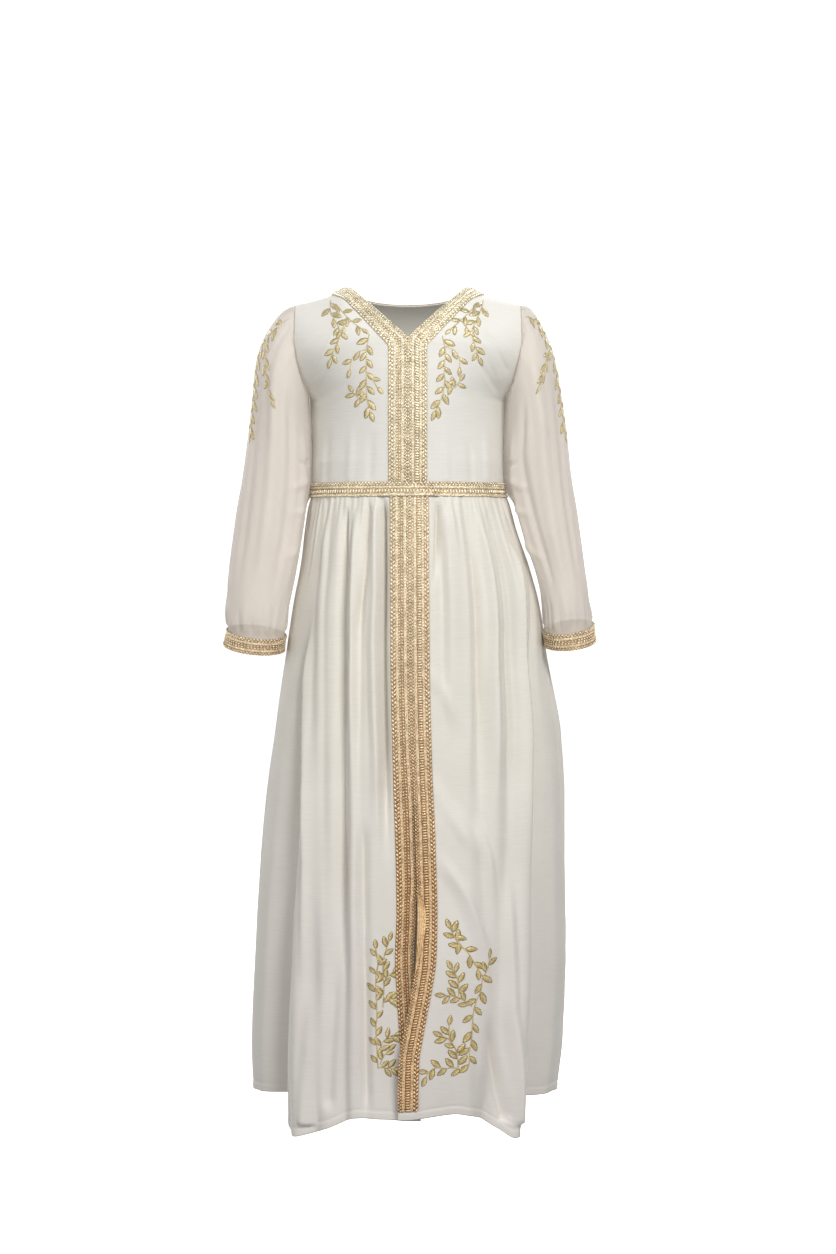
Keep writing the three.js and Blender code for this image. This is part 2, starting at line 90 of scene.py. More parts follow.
@dataclass(frozen=True)
class Bead:
    """Shape of the thread beads in one repeat of a row: a mirrored pair, or one if they are not set aside.

    Args:
        aside: Distance of a bead from the middle of the row, as a share of the row's half width.
        stagger: Distance of a bead from the middle of the repeat, as a share of the pitch.
        turn: Turn of a bead in radians.
        wide: Half width of a bead, as a share of the row's.
        long: Half length of a bead, as a share of the pitch.
        up: Height of its middle in millimetres.
        high: Half its height.
        coarse: Whether a ball of few facets does.
    """

    aside: float
    stagger: float
    turn: float
    wide: float
    long: float
    up: float
    high: float
    coarse: bool = False


class Row(Enum):
    """Rows of stitches in a braid."""

    PLAIT = Bead(0.48, 0.25, 0.62, 0.42, 0.46, 0.8, 1.05)
    CHAIN = Bead(0.42, 0.0, 0.5, 0.5, 0.56, 0.95, 0.55, True)
    SEED = Bead(0.5, 0.1, 0.7, 0.5, 0.29, 0.6, 0.9)
    LADDER = Bead(0.0, 0.0, 0.0, 1.0, 0.34, 0.6, 0.9)


def mix(start: Array, end: Array, share: Array) -> Array:
    """Value part of the way from start to end."""
    return start + (end - start) * share


def smooth(share: Array) -> Array:
    """Soft step from 0 to 1, held at both ends."""
    held = np.clip(share, 0.0, 1.0)
    return held**2 * (3 - 2 * held)


def rise(start: float, end: float, at: Array) -> Array:
    """Soft step of a value as it goes from start to end."""
    return smooth((np.asarray(at, float) - start) / (end - start))


def split_share(share: Array, at: float) -> Array:
    """Share that reaches 1 at a place and 2 at its end."""
    return np.where(share < at, share / at, 1 + (share - at) / (1 - at))


def through(before: Array, start: Array, end: Array, after: Array, t: Array) -> Array:
    """Smooth way from a start to an end, as the points before and after them lead it.

    Args:
        before: Point before the start.
        start: Start.
        end: End.
        after: Point after the end.
        t: Share of the way.

    Returns:
        Points on the way.
    """
    leave, arrive = (end - before) / 2, (after - start) / 2
    return mix(start, end, t * t * (3 - 2 * t)) + t * (1 - t) ** 2 * leave - t * t * (1 - t) * arrive


def unit(vectors: Array) -> Array:
    """Vectors of length 1 along the given ones."""
    return vectors / np.maximum(np.linalg.norm(vectors, axis=-1, keepdims=True), 1e-9)


def outward(across: Array, along: Array, away: Array) -> Array:
    """Unit normals of a surface, on the side that given vectors point to.

    Args:
        across: Steps across the surface.
        along: Steps along it.
        away: Vectors from a point inside.

    Returns:
        The normals.
    """
    normal = unit(np.cross(across, along))
    return normal * np.sign((normal * away).sum(-1, keepdims=True))


def axis_below(drop: float) -> Callable[[Array], Array]:
    """Function that gives the upright axis at a drop below each point."""
    return lambda points: points * (0, 0, 1) - (0, 0, drop)


def bead_shape(place: Triple, turn: float, halves: Triple) -> Matrix:
    """Matrix that makes a unit ball a turned bead.

    Args:
        place: Its middle.
        turn: Turn round the upright, in radians.
        halves: Half its sizes.

    Returns:
        The matrix.
    """
    return Matrix.Translation(place) @ Matrix.Rotation(turn, 4, "Z") @ Matrix.Diagonal((*halves, 1))


@dataclass(frozen=True)
class Table:
    """Rows of named columns, read smoothly by the first column.

    Args:
        names: Column names, the key first.
        rows: Rows of numbers, ordered by the key.
    """

    names: tuple[str, ...]
    rows: tuple[tuple[float, ...], ...]

    def at(self, name: str, where: Array) -> Array:
        """Read one column between the rows.

        Args:
            name: Column to read.
            where: Values of the key, clamped to the table.

        Returns:
            The column's values there.
        """
        rows = sorted(self.rows)
        keys = np.array([row[0] for row in rows], float)
        values = np.array([row[self.names.index(name)] for row in rows], float)
        slope = np.diff(values) / np.diff(keys)
        turning = slope[:-1] * slope[1:] <= 0
        total = np.where(turning, 1.0, slope[:-1] + slope[1:])
        inner = np.where(turning, 0.0, 2 * slope[:-1] * slope[1:] / total)
        tangent = np.concatenate([slope[:1], inner, slope[-1:]])
        place = np.clip(np.asarray(where, float), keys[0], keys[-1])
        i = np.clip(np.searchsorted(keys, place, side="left") - 1, 0, len(keys) - 2)
        width = keys[i + 1] - keys[i]
        t = (place - keys[i]) / width
        before = (1 + 2 * t) * (1 - t) ** 2 * values[i] + t * (1 - t) ** 2 * width * tangent[i]
        after = t * t * (3 - 2 * t) * values[i + 1] - t * t * (1 - t) * width * tangent[i + 1]
        return before + after


@dataclass(frozen=True)
class Crease:
    """One soft fold along a path, in a panel's own flat millimetres.

    Args:
        path: Points of its line.
        height: Height outwards in millimetres, less than 0 for a valley.
        left: Width on the left of the line as it runs.
        right: Width on the right of the line.
        fades: Share of the length that fades at its start and at its end.
        crisp: 0 for a round crest, 1 for a sharp one.
    """

    path: Line
    height: float
    left: float
    right: float
    fades: tuple[float, float] = (0.3, 0.4)
    crisp: float = 0.0

    def lift(self, across: Array, along: Array) -> Array:
        """Height of the fold over points of the panel.

        Args:
            across: First flat coordinate of the points.
            along: Second flat coordinate.

        Returns:
            Heights in millimetres.
        """
        points = np.array(self.path, float)
        steps = np.diff(points, axis=0)
        lengths = np.hypot(steps[:, 0], steps[:, 1])
        total = lengths.sum()
        best = np.full(across.shape, 1e9)
        signed = np.zeros(across.shape)
        run = np.zeros(across.shape)
        gone = 0.0
        for start, step, length in zip(points[:-1], steps, lengths):
            dx = across - start[0]
            dz = along - start[1]
            t = np.clip((dx * step[0] + dz * step[1]) / length**2, 0, 1)
            away = np.hypot(dx - t * step[0], dz - t * step[1])
            nearer = away < best
            best = np.where(nearer, away, best)
            signed = np.where(nearer, step[0] * dz - step[1] * dx, signed)
            run = np.where(nearer, gone + t * length, run)
            gone += length
        share = np.clip(best / np.where(signed > 0, self.left, self.right), 0, 1)
        round_crest = np.cos(share * math.pi / 2) ** 2
        sharp_crest = (1 - share) ** 1.7
        profile = mix(round_crest, sharp_crest, self.crisp)
        start_fade = rise(0, max(self.fades[0], 1e-3), run / total)
        end_fade = rise(0, max(self.fades[1], 1e-3), 1 - run / total)
        return self.height * profile * start_fade * end_fade


def folded(creases: list[Crease], across: Array, along: Array) -> Array:
    """Sum of the heights of several folds.

    Args:
        creases: Folds of the panel.
        across: First flat coordinate of the points.
        along: Second flat coordinate.

    Returns:
        Heights in millimetres.
    """
    total = np.zeros(np.shape(across))
    for crease in creases:
        total = total + crease.lift(across, along)
    return total


BODICE_SECTIONS = Table(
    ("z", "half", "front", "back"),
    (
        (-227, 108, 82, 78),
        (-190, 107, 85, 80),
        (-150, 108.5, 89, 83),
        (-125, 110, 91, 85),
        (-100, 119, 91, 86),
        (-75, 124, 90, 87),
        (-46, 126, 89, 87),
        (0, 126, 88, 86),
    ),
)
SHOULDER_FALL = Table(
    ("x", "fall"),
    ((0, 0), (67, 0), (89, -9), (108, -14.5), (126, -18.5)),
)
SKIRT_SECTIONS = Table(
    ("z", "right", "left", "front", "back"),
    (
        (-227, 108, 108, 82, 78),
        (-270, 115, 121, 91, 85),
        (-316, 122, 137, 99, 92),
        (-350, 129, 145, 104, 97),
        (-409, 138, 152, 110, 103),
        (-505, 152, 169, 119, 111),
        (-615, 164.5, 175, 127, 118),
        (-712, 171, 175, 132, 122),
        (-836, 173, 169, 135, 125),
        (-927, 168, 157, 136, 126),
    ),
)
FRONT_EDGES = Table(
    ("z", "right", "left"),
    (
        (-227, 1.3, 1.9),
        (-420, 2.4, 3.0),
        (-544, 5.2, 5.8),
        (-629, 8.0, 8.6),
        (-694, 9.2, 10.1),
        (-748, 7.4, 8.6),
        (-781, 9.0, 4.3),
        (-829, 12.0, -4.3),
        (-862, 14.0, -9.2),
        (-927, 14.5, -10.3),
    ),
)
HEM_LEVELS = Table(
    ("angle", "right", "left"),
    (
        (0, -914, -912),
        (18, -911, -907),
        (30, -924, -914),
        (38, -932, -927),
        (44, -936, -938),
        (50, -932, -936),
        (58, -906, -912),
        (66, -900, -905),
        (90, -902, -903),
        (120, -916, -916),
        (180, -920, -920),
    ),
)
PROUD_LINE = Table(
    ("z", "x"),
    ((-520, 14), (-560, 36), (-629, 78), (-718, 84), (-783, 88), (-927, 92)),
)


@dataclass(frozen=True)
class MainFold:
    """One long skirt fold: its angles and heights near the top, half way and at the hem.

    Args:
        angles: Angle from the centre front at the three levels.
        inner: Width towards the centre front, in degrees.
        outer: Width away from it.
        heights: Heights outwards in millimetres at the three levels.
    """

    angles: Triple
    inner: float
    outer: float
    heights: Triple

    def lift(self, angle: Array, z: Array) -> Array:
        """Height of the fold.

        Args:
            angle: Angles from the centre front.
            z: Levels.

        Returns:
            Heights outwards.
        """
        track = Table(
            ("z", "angle", "height"),
            (
                (-238, self.angles[0], 0),
                (-300, self.angles[0], self.heights[0]),
                (-600, self.angles[1], self.heights[1]),
                (-925, self.angles[2], self.heights[2]),
            ),
        )
        away = angle - track.at("angle", z)
        share = np.clip(np.abs(away) / np.where(away < 0, self.inner, self.outer), 0, 1)
        return track.at("height", z) * np.cos(share * math.pi / 2) ** 2


MAIN_FOLDS = {
    Side.RIGHT: (
        MainFold((19, 12.5, 12), 6, 5, (3, 5, 3)),
        MainFold((28, 19, 20), 7, 4, (3, 7, 5)),
        MainFold((41, 31, 31), 8, 8, (3, 5, 7)),
        MainFold((50, 42, 43), 9, 8, (0, 7, 14)),
        MainFold((60, 53, 61), 10, 14, (0, -12, -38)),
        MainFold((72, 78, 86), 14, 12, (0, 0, 6)),
        MainFold((112, 110, 108), 14, 11, (0, -4, -14)),
        MainFold((128, 130, 129), 12, 12, (2, 5, 8)),
        MainFold((148, 149, 147), 10, 9, (-2, -6, -11)),
        MainFold((163, 165, 163), 9, 8, (2, 4, 7)),
    ),
    Side.LEFT: (
        MainFold((15.5, 13, 13), 4, 4, (-3, 0, 0)),
        MainFold((28, 22, 22), 7, 6, (2, 2, 0)),
        MainFold((42, 33, 32), 6, 6, (2, 5, -7)),
        MainFold((55, 46, 45), 10, 8, (0, 7, 14)),
        MainFold((66, 57, 63), 10, 14, (0, -10, -34)),
        MainFold((74, 80, 88), 14, 12, (0, 0, 6)),
        MainFold((108, 107, 106), 13, 13, (0, -5, -12)),
        MainFold((126, 125, 127), 12, 11, (2, 6, 9)),
        MainFold((143, 144, 145), 10, 10, (-2, -5, -12)),
        MainFold((158, 160, 161), 9, 9, (2, 5, 8)),
    ),
}

ROWS_OF_SLEEVE = ("row", "out_x", "out_z", "in_x", "in_z", "y", "depth", "drop")
SLEEVE_SECTIONS = {
    Side.RIGHT: Table(
        ROWS_OF_SLEEVE,
        (
            (1, 140, -26, 112.2, -131, -1, 46, 0),
            (2, 152, -39, 112.6, -140, -3, 49, 0),
            (3, 164, -60, 112.8, -152, -5, 50, 0),
            (4, 171, -85, 112.8, -168, -7, 49, 0),
            (5, 175, -125, 112.7, -190, -10, 47, 1),
            (6, 179.5, -165, 112.6, -214, -12, 45, 2),
            (7, 186, -215, 114.4, -246, -15, 43, 3),
            (8, 193.8, -269, 119.6, -284, -18, 42, 4),
            (9, 200, -316, 126.5, -324, -21, 41, 5),
            (10, 203.4, -355, 133.5, -358, -23, 38, 6),
            (11, 202.4, -374, 137, -380, -24, 33, 7),
            (12, 201.4, -382, 138.2, -389, -24.5, 31, 7),
            (13, 203.4, -391, 139.2, -398, -24.8, 31, 7),
            (14, 205.5, -400, 140.2, -407, -25, 31, 7),
        ),
    ),
    Side.LEFT: Table(
        ROWS_OF_SLEEVE,
        (
            (1, 137, -23, 112.2, -131, -1, 46, 0),
            (2, 147, -35, 112.8, -140, -3, 49, 0),
            (3, 158, -57, 113, -152, -5, 50, 0),
            (4, 165.5, -80, 113.2, -168, -6, 49, 0),
            (5, 173.3, -125, 113.5, -190, -8, 47, 1),
            (6, 179, -166, 114.6, -214, -9, 45, 2),
            (7, 184, -215, 121, -246, -10, 43, 3),
            (8, 191.4, -269, 132, -284, -12, 41, 4),
            (9, 197.8, -316, 144.5, -322, -14, 40, 5),
            (10, 203, -350, 151, -354, -16, 37, 6),
            (11, 206, -368, 152.6, -377, -17, 32, 7),
            (12, 207.6, -376, 153.4, -384, -17.5, 30, 7),
            (13, 208.6, -386, 154.4, -393, -17.8, 30, 7),
            (14, 209.5, -396, 155.4, -402, -18, 30, 7),
        ),
    ),
}


# Degrees from the centre front at which the folds of the back start and all folds end.
SIDE_FOLD = 84
LAST_FOLD = 178
FRONT_FOLDS = {
    Side.RIGHT: (
        Crease(
            ((25.5, -236), (25.5, -345), (26, -400), (24, -511), (23, -640)),
            -15.5, 7.5, 6.5, (0.05, 0.35), 0.2,
        ),
        Crease(((35, -236), (35, -345), (36.5, -394), (33, -511), (31, -640)), 5.0, 8, 5, (0.05, 0.4), 0.5),
        Crease(((43, -236), (45, -300), (54, -382), (53.5, -464), (51, -640)), -6.0, 6, 8, (0.05, 0.4), 0.6),
        Crease(((48, -585), (47.5, -700), (46, -800), (44.5, -912)), -6.0, 6, 9, (0.1, 0.1), 0.7),
        Crease(((57, -240), (58, -400), (60, -600), (57, -800)), 6.0, 7, 10, (0.1, 0.3)),
        Crease(
            ((67, -240), (67.5, -314), (68.4, -470), (70, -535), (66.5, -650), (67, -790)),
            -8.5, 12, 4.2, (0.05, 0.3), 0.8,
        ),
        Crease(((88, -238), (93, -330), (95, -470), (95, -620), (91, -800)), 3.2, 12, 9, (0.1, 0.3)),
        Crease(
            ((105, -370), (112, -430), (110, -535), (108, -640), (110, -800)), 7.0, 5, 16, (0.15, 0.4), 0.9
        ),
        Crease(((116, -390), (122, -480), (122, -620), (128, -800)), -9.0, 18, 7, (0.2, 0.3), 0.5),
        Crease(((76, -700), (82, -800), (85, -905)), -5.0, 9, 9, (0.5, 0.05)),
        Crease(((100, -760), (104, -850), (106, -922)), 6.0, 10, 12, (0.5, 0.0)),
    ),
    Side.LEFT: (
        Crease(((33, -240), (33, -262), (31.5, -300), (26, -345)), -7.5, 6, 4.2, (0.12, 0.6), 0.6),
        Crease(((42, -238), (46, -320), (48, -430), (46, -520)), 5.0, 18, 10, (0.1, 0.5)),
        Crease(((62, -236), (70, -300), (78, -400), (79, -520), (76, -620)), -8.5, 9, 12, (0.3, 0.4)),
        Crease(((74, -236), (86, -300), (94, -380), (95, -480), (94, -600)), 6.5, 8, 9, (0.15, 0.4)),
        Crease(((86, -236), (100, -300), (109, -380), (110, -520), (108, -620)), -5.5, 7, 6, (0.1, 0.4), 0.5),
        Crease(
            ((104, -260), (122, -310), (126, -340), (128, -417), (131, -560), (130, -700)),
            7.0, 5.5, 15, (0.15, 0.4), 0.9,
        ),
        Crease(
            ((120, -280), (136, -330), (140, -450), (143, -620), (140, -800)), -9.0, 16, 7, (0.2, 0.3), 0.5
        ),
        Crease(((22, -535), (48, -580), (70, -614), (84, -640)), 3.6, 9, 12, (0.25, 0.4)),
        Crease(((30, -618), (61, -667), (77, -706), (84, -734), (88, -790)), 5.5, 7, 13, (0.2, 0.45), 0.6),
        Crease(((74, -580), (86, -628), (92, -690)), 4.5, 7, 10, (0.3, 0.5)),
        Crease(((20, -420), (40, -450), (62, -500)), 2.6, 9, 11, (0.3, 0.5)),
        Crease(((107, -620), (109, -710), (110, -800), (116, -922)), 7.0, 9, 11, (0.3, 0.0), 0.3),
        Crease(((88, -800), (93, -850), (103, -918)), -8.0, 9, 8, (0.4, 0.0), 0.4),
        Crease(((60, -800), (62, -860), (64, -915)), 4.0, 12, 12, (0.5, 0.0)),
    ),
}


def round_skirt(crease: Crease, side: Side) -> Crease:
    """Turn a fold of a skirt front from seen millimetres to flat ones.

    Args:
        crease: Fold by distance from the middle and level, from its top down.
        side: Side of the skirt.

    Returns:
        The fold by its place round the skirt and its level.
    """
    path = []
    for x, z in crease.path:
        half = float(SKIRT_SECTIONS.at(side.word, z))
        path.append((SkirtForm.ROUND * math.degrees(math.asin(min(1, x / half))), z))
    return replace(crease, path=tuple(path))


def skirt_folds(side: Side) -> list[Crease]:
    """Small folds of one side of the skirt: the seen ones, the gathers and the back."""
    seen = [round_skirt(crease, side) for crease in FRONT_FOLDS[side]]
    return seen + gathers(side) + back_folds(side)


def gathers(side: Side) -> list[Crease]:
    """Short uneven gathers that hang from the waist seam.

    Args:
        side: Side of the skirt.

    Returns:
        Their folds.
    """
    rng = random.Random(11 + side.value)
    folds = []
    place = 29.0
    seam = WAIST - 6
    while place < SkirtForm.ROUND * LAST_FOLD:
        length = rng.choice((26, 34, 45, 60, 85, 120)) * rng.uniform(0.85, 1.2)
        height = rng.uniform(0.9, 2.2) * (1 if rng.random() < 0.55 else -1)
        drift = rng.uniform(-3, 5)
        half_way = (place + drift * 0.4, seam - length * 0.5)
        path = ((place, seam), half_way, (place + drift, seam - length))
        widths = (rng.uniform(3, 6.5), rng.uniform(3, 6.5))
        folds.append(Crease(path, height, *widths, (0.12, 0.8), rng.uniform(0, 0.6)))
        place += rng.uniform(5.5, 11.5)
    return folds


def back_folds(side: Side) -> list[Crease]:
    """Long soft folds from the side seam round to the centre back.

    Args:
        side: Side of the skirt.

    Returns:
        Their folds.
    """
    rng = random.Random(31 + side.value)
    folds = []
    place = SkirtForm.ROUND * SIDE_FOLD
    while place < SkirtForm.ROUND * LAST_FOLD:
        top = rng.uniform(-240, -330)
        low = rng.choice((-925, -925, -820, -700))
        drift = rng.uniform(-10, 10)
        path = ((place, top), (place + drift, (top + low) / 2), (place + rng.uniform(-8, 8), low))
        height = rng.uniform(2.4, 5.2) * (1 if rng.random() < 0.6 else -1)
        fades = (0.25, 0.02 if low < -900 else 0.5)
        widths = (rng.uniform(5, 12), rng.uniform(7, 15))
        folds.append(Crease(path, height, *widths, fades, rng.uniform(0.1, 0.8)))
        place += rng.uniform(14, 26)
    return folds


def bodice_folds() -> dict[Face, list[Crease]]:
    """Soft folds of the bodice by the armholes and above the belt.

    Returns:
        Folds of the front and of the back, in seen millimetres.
    """
    front = [
        Crease(((72, -42), (90, -72), (106, -112)), 1.8, 4, 6, (0.4, 0.15), 0.5),
        Crease(((84, -40), (98, -66), (112, -98)), -1.8, 5, 5, (0.4, 0.15)),
        Crease(((62, -66), (84, -96), (103, -122)), -1.4, 6, 5, (0.5, 0.15)),
        Crease(((-76, -40), (-94, -74), (-108, -112)), 1.2, 6, 4, (0.4, 0.15), 0.5),
        Crease(((-66, -62), (-84, -92), (-104, -124)), -1.0, 5, 7, (0.5, 0.15)),
        Crease(((-54, -110), (-76, -124), (-104, -136)), 0.6, 6, 8, (0.5, 0.2)),
        Crease(((40, -150), (42, -190), (43, -222)), 1.3, 7, 9, (0.6, 0.1)),
        Crease(((66, -165), (69, -195), (70, -222)), -1.4, 6, 6, (0.5, 0.1)),
        Crease(((86, -140), (88, -180), (89, -222)), 1.6, 7, 7, (0.5, 0.1)),
        Crease(((-38, -158), (-40, -190), (-41, -222)), -1.2, 6, 8, (0.5, 0.1)),
        Crease(((-62, -150), (-64, -190), (-66, -222)), 1.5, 8, 6, (0.5, 0.1)),
        Crease(((-88, -150), (-89, -190), (-90, -222)), -1.5, 6, 7, (0.5, 0.1)),
    ]
    back = [
        Crease(((70, -40), (92, -76), (108, -118)), 1.9, 5, 7, (0.4, 0.15)),
        Crease(((-74, -44), (-92, -80), (-107, -116)), 1.7, 7, 5, (0.4, 0.15)),
        Crease(((52, -70), (76, -100), (104, -126)), -1.6, 6, 6, (0.5, 0.15)),
        Crease(((-58, -66), (-80, -98), (-104, -122)), -1.6, 6, 6, (0.5, 0.15)),
        Crease(((24, -150), (25, -190), (27, -222)), 1.6, 8, 8, (0.5, 0.1)),
        Crease(((-20, -140), (-22, -186), (-22, -222)), -1.5, 8, 7, (0.5, 0.1)),
        Crease(((52, -160), (54, -192), (55, -222)), -1.5, 6, 7, (0.5, 0.1)),
        Crease(((-50, -165), (-51, -195), (-52, -222)), 1.6, 7, 7, (0.5, 0.1)),
        Crease(((82, -146), (84, -186), (85, -222)), 1.7, 7, 8, (0.5, 0.1)),
        Crease(((-84, -150), (-85, -190), (-86, -222)), -1.6, 7, 7, (0.5, 0.1)),
    ]
    return {Face.FRONT: front, Face.BACK: back}


ROW_RUNS = (0, 14, 30, 52, 77, 116, 155, 204, 257, 303, 341, 359, 367, 376, 385)
SLEEVE_LENGTH = ROW_RUNS[-1]
SLEEVE_RUN = Table(("row", "run"), tuple(enumerate(ROW_RUNS)))
RUN_SLEEVE = Table(("run", "row"), tuple((run, row) for row, run in SLEEVE_RUN.rows))


def sleeve_folds(side: Side) -> list[Crease]:
    """Soft folds of a sleeve: cap gathers, long folds, drags at the elbow and cuff gathers.

    Args:
        side: Side of the garment.

    Returns:
        Folds in millimetres round the sleeve from its top and down it.
    """
    rng = random.Random(51 + side.value)
    shift = 6 if side is Side.LEFT else 0
    seam, cuff, cap = 3, 362, 64.0
    folds = [
        Crease(((52 + shift, 20), (58, 110), (62, 220), (64, 330)), 4.2, 12, 14, (0.15, 0.25), 0.3),
        Crease(((80, 40), (86 + shift, 130), (88, 250), (84, 340)), -4.0, 12, 10, (0.2, 0.25), 0.3),
        Crease(((106, 60), (110, 150), (106 + shift, 260), (104, 345)), 3.4, 10, 9, (0.2, 0.3)),
        Crease(((28, 60), (30, 150), (34, 250), (36, 340)), -2.6, 10, 10, (0.3, 0.3)),
        Crease(((10, 180), (12, 250), (16, 345)), 2.2, 8, 10, (0.4, 0.2)),
        Crease(((150, 50), (154, 170), (160, 300)), 4.0, 12, 10, (0.2, 0.3)),
        Crease(((182, 40), (186, 170), (184, 330)), -4.0, 10, 13, (0.2, 0.2), 0.3),
        Crease(((214, 30), (212, 150), (218, 300)), 3.6, 12, 10, (0.2, 0.3)),
        Crease(((240, 60), (244, 170), (242, 330)), -2.8, 9, 9, (0.3, 0.3)),
        Crease(((122, 150), (100, 176), (76, 190)), 2.2, 9, 7, (0.3, 0.5), 0.4),
        Crease(((128, 196), (106, 214), (84, 222)), 2.0, 8, 7, (0.3, 0.5), 0.4),
        Crease(((130, 118), (112, 134), (92, 142)), -2.0, 8, 7, (0.3, 0.5)),
        Crease(((126, 250), (104, 272), (78, 288)), 1.8, 8, 8, (0.3, 0.5)),
    ]
    place = -cap
    while place < cap:
        length = rng.uniform(22, 55)
        lean = place * 0.1
        height = rng.uniform(0.9, 1.9) * (1 if rng.random() < 0.6 else -1)
        path = ((place, seam), (place + lean, seam + length))
        folds.append(Crease(path, height, rng.uniform(3, 5), rng.uniform(3, 5), (0.15, 0.8)))
        place += rng.uniform(7, 12)
    place = 2.0
    while place < SleeveForm.ROUND - 2:
        length = rng.uniform(22, 62)
        height = rng.uniform(1.0, 2.1) * (1 if rng.random() < 0.6 else -1)
        path = ((place + rng.uniform(-3, 3), cuff - length), (place, cuff))
        folds.append(Crease(path, height, rng.uniform(3.5, 6), rng.uniform(3.5, 6), (0.8, 0.05)))
        place += rng.uniform(8, 13)
    return folds


